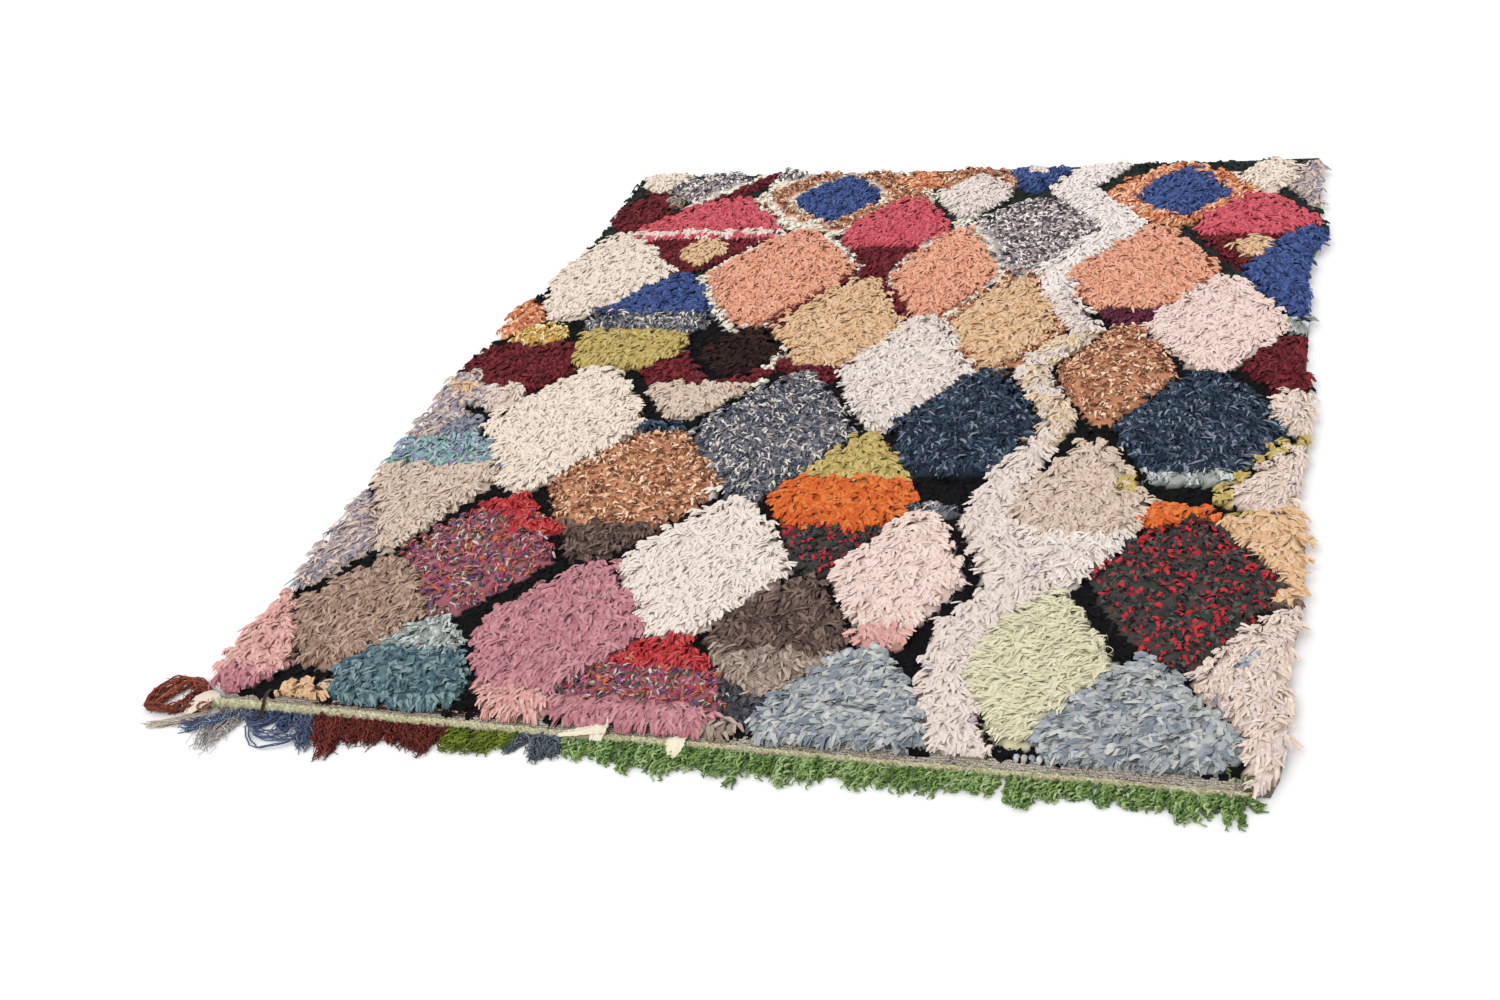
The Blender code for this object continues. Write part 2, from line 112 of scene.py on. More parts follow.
RAGS = (
    rag("black", 15, 13, 10, 3, 0, 50, 0.5, 0.8, (5, 4, 6), (3, 3, 5), (7, 6, 11)),
    rag("charcoal", 15, 13, 10, 3, 0, 50, 0.5, 0.8, (26, 36, 33), (19, 25, 24), (36, 46, 42)),
    rag("cream", 26, 26, 5.4, 7, 0, 34, 0.35, 0.7, (229, 214, 198), (225, 208, 190), (233, 220, 206)),
    rag("ivory", 27, 26, 5, 8, -8, 34, 0.35, 0.7, (228, 216, 205), (224, 211, 199), (232, 221, 211)),
    rag("oatmeal", 26, 24, 5.2, 7, 0, 36, 0.45, 0.7, (209, 189, 171), (199, 177, 157), (215, 195, 179)),
    rag("blush", 26, 26, 5.4, 7, 0, 34, 0.35, 0.7, (227, 203, 193), (223, 196, 185), (231, 210, 201)),
    rag(
        "rosy_white", 26, 21, 4.7, 10, -25, 32, 0.6, 0.55, (225, 205, 191), (217, 195, 181),
        (231, 214, 200), (219, 200, 186), (215, 200, 196),
    ),
    rag("pale_line", 25, 23, 5.4, 7, 0, 36, 0.4, 0.7, (221, 207, 197), (217, 202, 191), (224, 211, 203)),
    rag("white_line", 25, 23, 5.4, 7, 0, 36, 0.4, 0.7, (231, 221, 214), (226, 215, 209), (235, 227, 220)),
    rag("lilac_fleck", 24, 20, 4.5, 6, 0, 36, 0.8, 0.4, (206, 190, 194), (178, 164, 180), (221, 210, 206)),
    rag("white_grey", 26, 25, 5.4, 7, 0, 36, 0.45, 0.7, (224, 212, 201), (214, 201, 194), (230, 220, 211)),
    rag("white_knots", 20, 15, 9, 3, 0, 50, 0.8, 0.6, (238, 230, 216), (228, 216, 198)),
    rag("salmon", 26, 24, 5.2, 7, 0, 36, 0.5, 0.5, (224, 158, 128), (218, 145, 115), (229, 172, 143)),
    rag("tan", 26, 23, 5.8, 7, 0, 44, 0.5, 0.6, (216, 179, 137), (210, 167, 123), (222, 188, 154)),
    rag("crimson", 26, 24, 5.4, 7, 0, 34, 0.4, 0.5, (202, 81, 93), (192, 68, 81), (210, 97, 107)),
    rag("maroon", 22, 20, 6, 5, 0, 34, 0.7, 0.5, (105, 29, 36), (82, 21, 27), (124, 39, 46)),
    rag("plum", 22, 20, 6, 5, 0, 34, 0.7, 0.5, (98, 40, 62), (80, 30, 50)),
    rag("royal_blue", 25, 23, 5.2, 7, 0, 34, 0.5, 0.5, (57, 78, 134), (45, 61, 114), (72, 95, 149)),
    rag(
        "navy", 26, 24, 4.6, 7, 0, 36, 0.7, 0.45, (38, 53, 67), (24, 37, 54), (57, 77, 92), (18, 37, 63),
        (88, 91, 108), (38, 53, 67), (24, 37, 54), (57, 77, 92), (122, 134, 150),
    ),
    rag(
        "denim_fleck", 26, 20, 4.2, 7, 0, 38, 0.8, 0.45, (111, 112, 119), (46, 56, 76), (218, 210, 200),
        (86, 92, 104), (156, 148, 153),
    ),
    rag(
        "brown_fleck", 25, 13, 4.8, 7, 0, 65, 1.1, 0.6, (193, 131, 97), (232, 187, 152), (118, 71, 49),
        (244, 214, 184), (155, 98, 65), (210, 153, 117),
    ),
    rag(
        "grey_fleck", 25, 17, 4.8, 6, 0, 50, 0.8, 0.5, (165, 156, 156), (79, 69, 82), (239, 233, 226),
        (56, 51, 57), (208, 198, 194),
    ),
    rag("olive_yellow", 25, 24, 6, 6, 0, 34, 0.45, 0.5, (188, 165, 94), (176, 151, 79), (197, 176, 111)),
    rag("orange", 26, 24, 7, 6, 0, 34, 0.35, 0.6, (210, 99, 34), (200, 85, 23), (216, 118, 51)),
    rag("peach", 24, 22, 5.8, 5, 0, 36, 0.7, 0.45, (221, 146, 101), (193, 102, 62), (237, 190, 152)),
    rag("yellow", 23, 21, 5.8, 5, 0, 36, 0.7, 0.45, (214, 177, 97), (187, 138, 50), (234, 218, 165)),
    rag("red", 26, 22, 4.5, 6, 10, 36, 0.8, 0.4, (193, 55, 60), (173, 40, 45), (205, 82, 81)),
    rag(
        "red_black", 25, 12, 6, 6, -10, 65, 1.2, 0.8, (62, 66, 62), (195, 49, 59), (51, 56, 53),
        (81, 87, 80), (59, 64, 62), (170, 47, 57), (47, 51, 51),
    ),
    rag(
        "confetti", 25, 15, 4, 7, 0, 65, 1.0, 0.5, (165, 96, 110), (194, 135, 137), (75, 62, 110),
        (138, 104, 79), (75, 83, 65), (204, 107, 65), (175, 53, 81), (196, 195, 180), (139, 73, 110),
    ),
    rag(
        "mauve_pink", 28, 27, 6.2, 8, 5, 30, 0.6, 0.5, (191, 130, 138), (183, 121, 129), (198, 142, 146),
        (176, 113, 123),
    ),
    rag("shell_pink", 26, 24, 5.8, 8, 0, 30, 0.6, 0.5, (216, 165, 155), (208, 151, 143), (221, 175, 166)),
    rag("taupe", 26, 25, 5.4, 7, 0, 34, 0.55, 0.45, (165, 136, 118), (146, 117, 100), (184, 157, 137)),
    rag("dark_taupe", 26, 24, 5.5, 6, 20, 36, 0.9, 0.45, (101, 82, 73), (76, 60, 54), (124, 103, 93)),
    rag("grey_brown", 25, 24, 5.5, 6, 10, 36, 0.9, 0.45, (162, 143, 129), (140, 124, 111), (181, 163, 150)),
    rag("dark_brown", 22, 20, 6, 5, 0, 38, 0.8, 0.5, (45, 25, 21), (33, 18, 15), (55, 33, 27)),
    rag(
        "pale_green", 27, 26, 4.6, 9, -50, 30, 0.5, 0.5, (216, 210, 178), (210, 203, 170), (221, 215, 186),
        (204, 198, 163),
    ),
    rag(
        "blue_grey", 27, 25, 8, 8, -52, 30, 1.1, 0.75, (167, 173, 174), (180, 184, 181), (147, 153, 160),
        (196, 194, 191), (120, 130, 142), (161, 165, 168),
    ),
    rag("teal", 25, 19, 6.4, 7, 0, 50, 1.0, 0.5, (95, 123, 130), (66, 94, 105), (127, 152, 155)),
    rag("mint", 24, 23, 5.6, 6, 0, 36, 0.7, 0.45, (169, 172, 166), (131, 142, 136), (198, 203, 203)),
    rag(
        "sea_green", 24, 22, 5.8, 5, 0, 38, 0.8, 0.45, (140, 179, 171), (116, 165, 157), (150, 150, 181),
        (128, 132, 165), (172, 187, 187),
    ),
    rag("periwinkle", 24, 22, 5.6, 5, 0, 38, 0.8, 0.45, (136, 138, 154), (118, 122, 142), (158, 158, 168)),
    rag("sand", 25, 22, 5.2, 7, 0, 40, 0.5, 0.5, (224, 200, 166), (216, 190, 154), (230, 208, 178)),
    rag("slate", 21, 18, 5.8, 5, 0, 42, 0.9, 0.45, (66, 67, 73), (50, 51, 57), (88, 86, 90)),
    rag(
        "moss", 15, 12, 3, 8, 0, 70, 1.2, 0.4, (112, 126, 78), (88, 102, 60), (140, 150, 108),
        (184, 174, 146),
    ),
    rag("lilac_grey", 24, 24, 5.5, 5, 0, 36, 0.7, 0.45, (214, 194, 180), (176, 155, 154), (141, 138, 151)),
)
# How a strip runs forward and up from its knot, as shares of its reach and height
Course = namedtuple("Course", "forward rise")
PILE_COURSE = Course(np.array((0.0, 0.14, 0.56, 1.0)), np.array((0.0, 0.90, 1.0, 0.88)))
GROUND_COURSE = Course(np.array((0.0, 0.30, 1.0)), np.array((0.0, 1.0, 0.70)))
GROUND_RAGS = ("black", "charcoal")

# How the strips lie: their wander over the rug, and their lean and droop near its sides
LEAN = 0.65
LEAN_WIDTH = 0.28
SEEN_AHEAD = 0.014
SIDE_LEAN_WIDTH = 0.045
LEFT_LEAN, RIGHT_LEAN, CORNER_LEAN = 0.6, 0.4, 0.35
SIDE_DROOP = 0.030
MOST_DROOP = 0.75
SIDE_TIP = 0.004
CORNER_FROM = 0.706
CORNER_SIZE = 0.05
LEAST_AHEAD = 0.1

# How much of the near band stays bare and how far the rags behind it hang down, by X
BARE_AT = (-0.60, -0.35, 0.05, 0.30, 0.45)
BARE_BAND = (0.0105, 0.004, 0.002, 0.009, 0.013)
BARE_DROOP = (0.35, 0.75, 0.80, 0.45, 0.35)
NEAR_HANG = 0.024

# The bed of packed pile feet under the strips
BED_PITCH = 0.0086
BED_SHARE = 0.75
BED_PALE_SHARE = 0.17
# The bed's colour is darkened by the next share: painted shade under the strips
BED_PAINTED_SHADE = 0.94
BED_PICKED = 0.16
BED_INSET = 0.016
BED_EDGE = 0.012

# Past every place on the rug
BEYOND = 9.0
Patch = namedtuple("Patch", "x y left right up down rags floors edge power")
LOZENGE_POWER = 1.16
BLUNT = 0.92


def patch(x, y, left, right, up, down, *rags, edge="", power=LOZENGE_POWER):
    """A lozenge, by the middle of its widest line and how far it reaches each way from there.

    Its rags run from the top down, each followed by the Y at which it gives way to the next. A
    high power makes it blocky.
    """
    floors = (*mm(*rags[1::2]), -BEYOND)
    return Patch(*mm(x, y, left, right, up, down), rags[::2], floors, edge, power)


PATCHES = (
    # Far end
    patch(-656, 851, 62, 66, 70, 60, "cream"),
    patch(-535, 820, 100, 90, 80, 90, "grey_fleck"),
    patch(-613, 737, 35, 35, 30, 30, "grey_brown"),
    patch(-363, 870, 55, 60, 40, 35, "grey_fleck"),
    patch(-657, 690, 64, 64, 92, 105, "maroon", power=1.5),
    patch(-227, 730, 185, 195, 180, 145, "brown_fleck", edge="white_knots"),
    patch(-63, 813, 60, 60, 60, 45, "peach"),
    patch(20, 820, 40, 160, 60, 130, "brown_fleck"),
    patch(66, 740, 75, 76, 95, 105, "white_grey"),
    patch(-227, 737, 96, 96, 110, 107, "royal_blue", edge="white_knots"),
    patch(180, 845, 62, 70, 40, 90, "royal_blue"),
    patch(180, 862, 24, 26, 30, 40, "white_grey"),
    patch(480, 722, 158, 155, 150, 135, "peach"),
    patch(487, 722, 92, 94, 120, 106, "royal_blue"),
    patch(648, 800, 62, 62, 80, 68, "cream"),
    patch(745, 760, 60, 50, 120, 100, "lilac_grey"),
    # Second course
    patch(-475, 575, 172, 172, 182, 172, "crimson", 588, "blush", 563, "crimson", 550, "maroon"),
    patch(-449, 494, 45, 45, 58, 60, "tan"),
    patch(-63, 575, 112, 113, 155, 195, "crimson", 503, "maroon"),
    patch(216, 580, 146, 146, 135, 215, "grey_fleck"),
    patch(633, 585, 114, 112, 130, 185, "crimson", 538, "maroon"),
    patch(633, 487, 38, 36, 40, 42, "tan"),
    # Third course
    patch(-664, 380, 82, 184, 205, 177, "cream"),
    patch(-462, 190, 135, 118, 215, 100, "royal_blue", 228, "denim_fleck"),
    patch(-480, 98, 112, 118, 68, 74, "olive_yellow", power=2.6),
    patch(-256, 387, 150, 152, 195, 205, "salmon", edge="white_knots"),
    patch(73, 387, 98, 100, 192, 185, "salmon", edge="white_knots"),
    patch(444, 387, 146, 138, 192, 205, "salmon", 252, "plum"),
    patch(735, 392, 118, 60, 185, 175, "royal_blue"),
    patch(732, 190, 30, 40, 22, 22, "mint", power=2.0),
    # Fourth course
    patch(-760, 210, 50, 70, 80, 75, "peach"),
    patch(-672, 146, 52, 52, 36, 40, "yellow", power=2.6),
    patch(-664, 32, 108, 112, 80, 84, "maroon", power=3.2),
    patch(-81, 173, 126, 120, 195, 168, "tan", 45, "maroon", edge="maroon"),
    patch(223, 187, 91, 94, 175, 155, "tan", edge="brown_fleck"),
    patch(597, 187, 128, 110, 182, 152, "blush"),
    # Fifth course
    patch(-285, 20, 130, 130, 115, 165, "maroon", -30, "oatmeal"),
    patch(-250, 88, 78, 84, 82, 85, "dark_brown", edge="black"),
    patch(78, 16, 112, 116, 205, 185, "white_grey"),
    patch(437, 30, 94, 100, 158, 165, "brown_fleck"),
    patch(720, 58, 78, 60, 100, 94, "maroon"),
    patch(748, -87, 72, 60, 62, 66, "rosy_white", power=1.7),
    patch(752, -171, 24, 30, 10, 9, "navy", power=2.0),
    # Sixth course
    patch(-655, -76, 56, 50, 32, 46, "rosy_white", power=1.8),
    patch(-765, -110, 60, 88, 118, 135, "lilac_grey", power=1.5),
    patch(-737, -58, 22, 20, 11, 11, "tan", power=2.0),
    patch(-700, -122, 32, 30, 12, 13, "black", power=2.4),
    patch(-682, -192, 40, 40, 36, 36, "periwinkle", power=2.0),
    patch(-491, -165, 150, 150, 192, 215, "cream"),
    patch(-95, -187, 146, 134, 195, 200, "denim_fleck"),
    patch(222, -152, 122, 120, 184, 226, "navy", -288, "black"),
    patch(588, -140, 128, 130, 170, 220, "navy", -264, "mint", -290, "black"),
    patch(-195, -331, 20, 22, 13, 13, "ivory", power=2.0),
    patch(-166, -362, 24, 28, 14, 14, "ivory", power=2.0),
    # Seventh course
    patch(-652, -325, 132, 112, 120, 232, "sea_green", -315, "oatmeal"),
    patch(-705, -272, 120, 98, 44, 46, "sea_green", power=3.0),
    patch(-293, -350, 150, 150, 178, 208, "brown_fleck", -462, "dark_taupe"),
    patch(-315, -180, 36, 46, 13, 12, "navy", power=2.0),
    patch(70, -365, 116, 116, 180, 200, "olive_yellow", -318, "orange", -442, "red_black"),
    patch(433, -370, 100, 104, 185, 200, "oatmeal", -434, "white_grey"),
    patch(582, -382, 60, 56, 24, 28, "orange", power=2.4),
    patch(498, -308, 13, 13, 26, 26, "olive_yellow", power=2.0),
    patch(220, -388, 42, 42, 11, 12, "denim_fleck", power=2.0),
    patch(745, -335, 100, 100, 145, 50, "rosy_white", edge="olive_yellow", power=1.3),
    patch(752, -410, 130, 60, 58, 176, "tan", -570, "dark_taupe", power=1.35),
    # Eighth course
    patch(-765, -541, 50, 96, 140, 140, "lilac_grey"),
    patch(-482, -555, 135, 133, 165, 158, "red", -448, "confetti"),
    patch(-445, -478, 30, 92, 22, 20, "red"),
    patch(-99, -556, 136, 136, 176, 180, "ivory"),
    patch(208, -556, 110, 92, 158, 155, "blush"),
    patch(205, -690, 40, 38, 22, 24, "shell_pink", power=2.0),
    patch(601, -530, 136, 136, 150, 192, "red_black"),
    # Ninth course
    patch(-612, -706, 112, 113, 130, 152, "taupe"),
    patch(-765, -845, 60, 107, 165, 110, "shell_pink", -866, "mauve_pink"),
    patch(-266, -727, 134, 132, 160, 220, "mauve_pink", -857, "shell_pink"),
    patch(30, -842, 52, 76, 68, 84, "slate", -896, "grey_brown"),
    patch(68, -712, 118, 98, 140, 126, "dark_taupe", -740, "grey_brown"),
    patch(428, -741, 112, 110, 166, 145, "pale_green"),
    patch(755, -738, 128, 60, 154, 130, "rosy_white"),
    patch(768, -860, 78, 40, 130, 90, "rosy_white"),
    patch(762, -925, 50, 60, 36, 60, "rosy_white", power=3.0),
    patch(702, -912, 18, 16, 12, 20, "moss", power=2.0),
    patch(692, -702, 14, 14, 12, 12, "blue_grey"),
    patch(668, -776, 10, 12, 10, 10, "lilac_grey"),
    patch(690, -846, 15, 14, 18, 16, "dark_brown"),
    # Near end
    patch(-470, -865, 118, 116, 150, 120, "mint", -792, "teal"),
    patch(-618, -864, 54, 46, 22, 24, "black", power=3.5),
    patch(-609, -903, 38, 41, 17, 24, "tan", power=2.0),
    patch(-85, -865, 150, 122, 145, 130, "red", -792, "confetti", -872, "mauve_pink"),
    patch(197, -882, 132, 126, 162, 110, "blue_grey"),
    patch(569, -860, 134, 134, 148, 120, "blue_grey"),
)
EDGE_WIDTH = 0.022
EDGE_SHARE = {"white_knots": 0.62, "maroon": 0.9, "brown_fleck": 0.55, "olive_yellow": 0.5, "black": 1.0}

Line = namedtuple("Line", "rag half_width share points")


def knot_line(rag, half_width, share, *points):
    """A single row of knots that runs between lozenges. The share is that of its knots in this rag."""
    return Line(rag, half_width / 1000.0, share, [mm(*point) for point in points])


LINES = (
    knot_line("white_knots", 10, 0.60, (-166, 100), (-176, -30)),
    knot_line("maroon", 16, 1.0, (-400, 862), (-500, 740)),
    knot_line("white_knots", 11, 0.70, (-425, 862), (-560, 722)),
    knot_line("white_knots", 12, 0.70, (-380, 830), (-400, 755), (-330, 655), (-235, 592)),
)

# The pale zigzag that runs the length of the rug
Turn = namedtuple("Turn", "x y half_width")
ZIGZAG = [
    Turn(*mm(*row))
    for row in (
        (345, 910, 45), (259, 765, 40), (392, 573, 38), (280, 390, 27), (312, 276, 27), (372, 168, 23),
        (294, 38, 24), (374, -128, 22), (345, -215, 22), (318, -299, 34), (300, -405, 38), (374, -560, 40),
        (310, -690, 34), (316, -799, 32), (365, -910, 30),
    )
]
ZIGZAG_TAN = (-0.20, 0.16)
TAN_FROM = -0.1
SAND_FROM = 0.52
LILAC_FROM = 0.70
WHITE_FROM = 0.30
LINE_RISE = 0.45
CHARCOAL_FROM = 0.33

# The near fringe. Each lock has its tip's place and its share of the roots along the cord.
Fringe = namedtuple("Fringe", "name slot start end thickness curl spread per_metre rows colours locks")


def fringe(name, slot, start, end, thickness, curl, spread, per_metre, rows, colours, locks):
    """One group of yarns, and how many there are in each metre of cord."""
    locks = [(*mm(x, y), share) for x, y, share in locks]
    sizes = mm(start, end, thickness, curl)
    return Fringe(name, slot, *sizes, spread, per_metre, rows, colours, locks)


FRINGE = (
    fringe(
        "fringe_lilac", "lilac_yarn", -736, -672, 1.4, 3, 1.35, 800, 14,
        ((232, 224, 218), (242, 236, 228), (188, 176, 172), (224, 214, 208), (150, 140, 140)),
        ((-724, -1026, 1.0), (-702, -1038, 1.1), (-698, -996, 0.6)),
    ),
    fringe(
        "fringe_blue", "blue_yarn", -690, -566, 2.2, 3, 0.60, 1100, 12,
        ((96, 118, 154), (78, 102, 142), (118, 138, 170), (92, 92, 126), (70, 92, 134)),
        ((-760, -987, 1.2), (-664, -958, 0.6), (-642, -962, 0.9), (-606, -964, 0.9), (-552, -1006, 1.1)),
    ),
    fringe(
        "fringe_rust", "rust_yarn", -566, -346, 2.4, 3.4, 0.62, 1500, 12,
        ((134, 40, 22), (114, 30, 18), (154, 54, 34), (98, 26, 18)),
        (
            (-534, -990, 1.0), (-514, -1022, 1.2), (-488, -985, 1.0), (-457, -982, 1.2), (-425, -974, 1.0),
            (-398, -982, 1.0), (-374, -992, 1.1), (-352, -960, 0.6),
        ),
    ),
    fringe(
        "fringe_olive", "olive_yarn", -348, -244, 3.6, 0.6, 0.90, 700, 24,
        ((106, 126, 12), (124, 142, 24), (86, 104, 8), (146, 160, 48)),
        ((-336, -984, 1.0), (-312, -981, 1.2), (-286, -978, 1.0), (-260, -968, 0.8)),
    ),
    fringe(
        "fringe_slate", "slate_yarn", -246, -174, 2.6, 3.2, 0.70, 1150, 12,
        ((106, 118, 134), (90, 102, 118), (124, 136, 150), (112, 116, 122)),
        ((-250, -966, 0.7), (-204, -981, 1.2), (-186, -974, 0.8)),
    ),
    fringe(
        "fringe_green", "green_yarn", -176, 720, 3.8, 0.6, 0.95, 550, 22,
        ((126, 162, 82), (102, 138, 62), (156, 186, 112), (138, 170, 96), (182, 204, 146), (84, 116, 50)),
        (
            (-150, -974, 1.0), (-120, -966, 0.9), (-96, -978, 0.9), (-68, -990, 1.0), (-44, -978, 0.8),
            (-20, -993, 1.0), (14, -975, 1.2), (53, -978, 1.2), (76, -1000, 0.4), (105, -974, 1.1),
            (138, -986, 1.1), (176, -977, 1.2), (208, -962, 1.0), (238, -980, 1.0), (265, -970, 0.9),
            (294, -976, 1.0), (325, -978, 1.0), (358, -964, 1.1), (401, -966, 1.3), (446, -985, 1.3),
            (483, -966, 1.1), (512, -962, 0.9), (540, -967, 0.9), (571, -963, 1.0), (600, -966, 1.0),
            (648, -983, 1.4), (668, -955, 0.6), (702, -985, 0.8), (722, -946, 0.5),
        ),
    ),
)
FRINGE_Y = -0.9300
LOOPED_FRINGE = "fringe_blue"
COILED_FRINGE = ("fringe_olive", "fringe_green")
FRINGE_LOOPS = (
    (
        (-655, -932), (-668, -950), (-660, -975), (-638, -994), (-612, -1007), (-588, -998), (-572, -984),
        (-566, -960), (-572, -934),
    ),
    ((-640, -932), (-652, -958), (-640, -981), (-612, -978), (-592, -956), (-586, -933)),
    ((-612, -932), (-618, -962), (-600, -986), (-575, -982), (-560, -955), (-566, -934)),
    ((-676, -933), (-672, -952), (-650, -966), (-624, -952), (-618, -933)),
    ((-692, -934), (-706, -958), (-730, -974), (-752, -982), (-766, -990)),
)
LOOPS_PER_PATH = 5

# Rag ends: their widths and the path of their middle line
Tab = namedtuple("Tab", "name node widths points")


def over_cord(x, *course):
    """A path over the near cord, by how far ahead of the near end it runs and how high."""
    return [(x, NEAR_END * 1000.0 - ahead, z) for ahead, z in course]


TABS = (
    Tab(
        "rag_end_left", "rag_tab_left", (10, 22, 24, 22, 20, 16),
        over_cord(-128, (-22, 21.5), (-14, 23.5), (-6, 17), (3, 15), (10, 14), (17, 9)),
    ),
    Tab(
        "rag_end_left_tail", "rag_tab_left", (20, 18, 14, 8),
        ((-118, -915, 15), (-140, -921, 15), (-162, -926, 13.5), (-184, -929, 11)),
    ),
    Tab(
        "rag_end_right", "rag_tab_right", (18, 22, 26, 26, 20, 10),
        over_cord(-14, (-6, 8), (0, 12.8), (6, 14.2), (13, 12.5), (21, 8.5), (33, 7.2)),
    ),
)

# The bunch of yarn loops at the near left corner
KNOT_PLACE = Vector((-0.7553, -0.9300, 0.0045))
Loop = namedtuple("Loop", "yarns spread points")
LOOPS = (
    Loop(
        14, 5.2,
        (
            (-752, -918), (-768, -898), (-792, -884), (-828, -880), (-848, -900), (-854, -938),
            (-840, -950), (-806, -948), (-778, -942), (-756, -930),
        ),
    ),
    Loop(
        8, 3.4,
        (
            (-754, -922), (-780, -898), (-808, -888), (-822, -912), (-836, -942), (-846, -946),
        ),
    ),
    Loop(
        8, 3.4,
        (
            (-754, -922), (-774, -902), (-787, -910), (-790, -930), (-795, -947), (-806, -950),
        ),
    ),
)
KNOT_RAG = Tab(
    "knot_rag", "corner_loops", (14, 28, 32, 24, 12),
    ((-736, -913, 13), (-748, -921, 16.5), (-760, -933, 15), (-770, -944, 10.5), (-776, -952, 5)),
)
# The height of all open loops, in millimetres like their points
LOOP_HEIGHT = 5.0
THREADS_FROM = (-0.744, -0.949, 0.006)
THREADS_TO = (-0.816, -0.979, 0.003)
RAG_THICKNESS = 0.0010

# The dark tie over the cord, drawn as parallel yarns, and the stray threads
DARK_TIE = (
    (-664, -892, 12), (-660, -905, 18.5), (-656, -917, 21.5), (-651, -932, 19), (-649, -946, 9),
    (-656, -957, 5),
)
TIE_YARNS = ((0, 0, 0), (1.7, 0, 0.4), (3.2, 1, -0.6))
THREADS = (
    ((505, -700, 28), (520, -712, 29), (528, -700, 29), (518, -690, 28), (508, -697, 27)),
    ((520, -735, 28), (545, -742, 30), (575, -741, 30), (610, -746, 29), (640, -742, 28)),
    ((238, -905, 20), (246, -922, 15), (258, -934, 12), (270, -938, 12), (278, -936, 11)),
    ((650, -925, 12), (668, -922, 14), (684, -914, 13), (692, -921, 12), (690, -932, 10)),
    ((-250, -640, 28), (-242, -652, 29), (-226, -655, 29), (-218, -645, 28), (-222, -634, 27)),
)

# The bare band, its row of knots by X and its fuzz, and the swell of the near cord by X
BAND_ENDS = (-0.732, 0.728)
BAND_ROWS = 5
BAND_COLOURS = (
    (148, 138, 124), (104, 96, 88), (214, 206, 190), (166, 156, 144), (130, 112, 108), (222, 214, 200),
    (132, 134, 112), (84, 72, 68),
)
KNOT_ROW = (0.432, 0.600, 0.0095)
FRAY_ENDS = (-0.575, -0.290)
CORD_SWELL = ((-0.65, -0.30, 0.10, 0.50), (0.0076, 0.0064, 0.0052, 0.0050))

# The length of one turn of a yarn's plies, and of two threads of the weave
PLY_PITCH = 0.006
WEAVE_PITCH = 0.005


def linear(colour):
    """A scene-linear colour from 8-bit display values."""
    parts = [value / 255.0 for value in colour]
    return tuple(s / 12.92 if s <= 0.04045 else ((s + 0.055) / 1.055) ** 2.4 for s in parts)


def rgba(*colour):
    return (*linear(colour), 1.0)


def paleness(kind):
    return sum(linear(kind.colours[0])) / 3.0


def sides_at(y):
    """How far left and right the tips reach at each y."""
    return [np.interp(y, SIDES[:, 0], SIDES[:, number]) for number in (1, 2)]


def far_edge(x):
    return FAR_END - FAR_BOW * np.cos(np.pi * np.asarray(x) / RUG_WIDTH)


def bowed(x, y):
    """The y of each row, moved so that the last row follows the bowed far end."""
    return NEAR_END + (y - NEAR_END) * (far_edge(x) - NEAR_END) / (FAR_END - NEAR_END)


def drift(x, y, width, seed):
    """Smooth noise from about -1 to 1 at each point."""
    at = zip(np.ravel(x) / width, np.ravel(y) / width)
    found = np.array([noise.noise(Vector((u, v, seed))) for u, v in at])
    return found.reshape(np.shape(x))


def maths(operation):
    """A method that joins a value and another by this operation."""

    def join(self, other):
        return self.finish.node("ShaderNodeMath", {"operation": operation}, {0: self, 1: other})

    return join


class Value:
    """A shader socket that takes part in Python expressions."""

    def __init__(self, finish, socket):
        self.finish = finish
        self.socket = socket

    __add__ = __radd__ = maths("ADD")
    __sub__ = maths("SUBTRACT")
    __mul__ = maths("MULTIPLY")


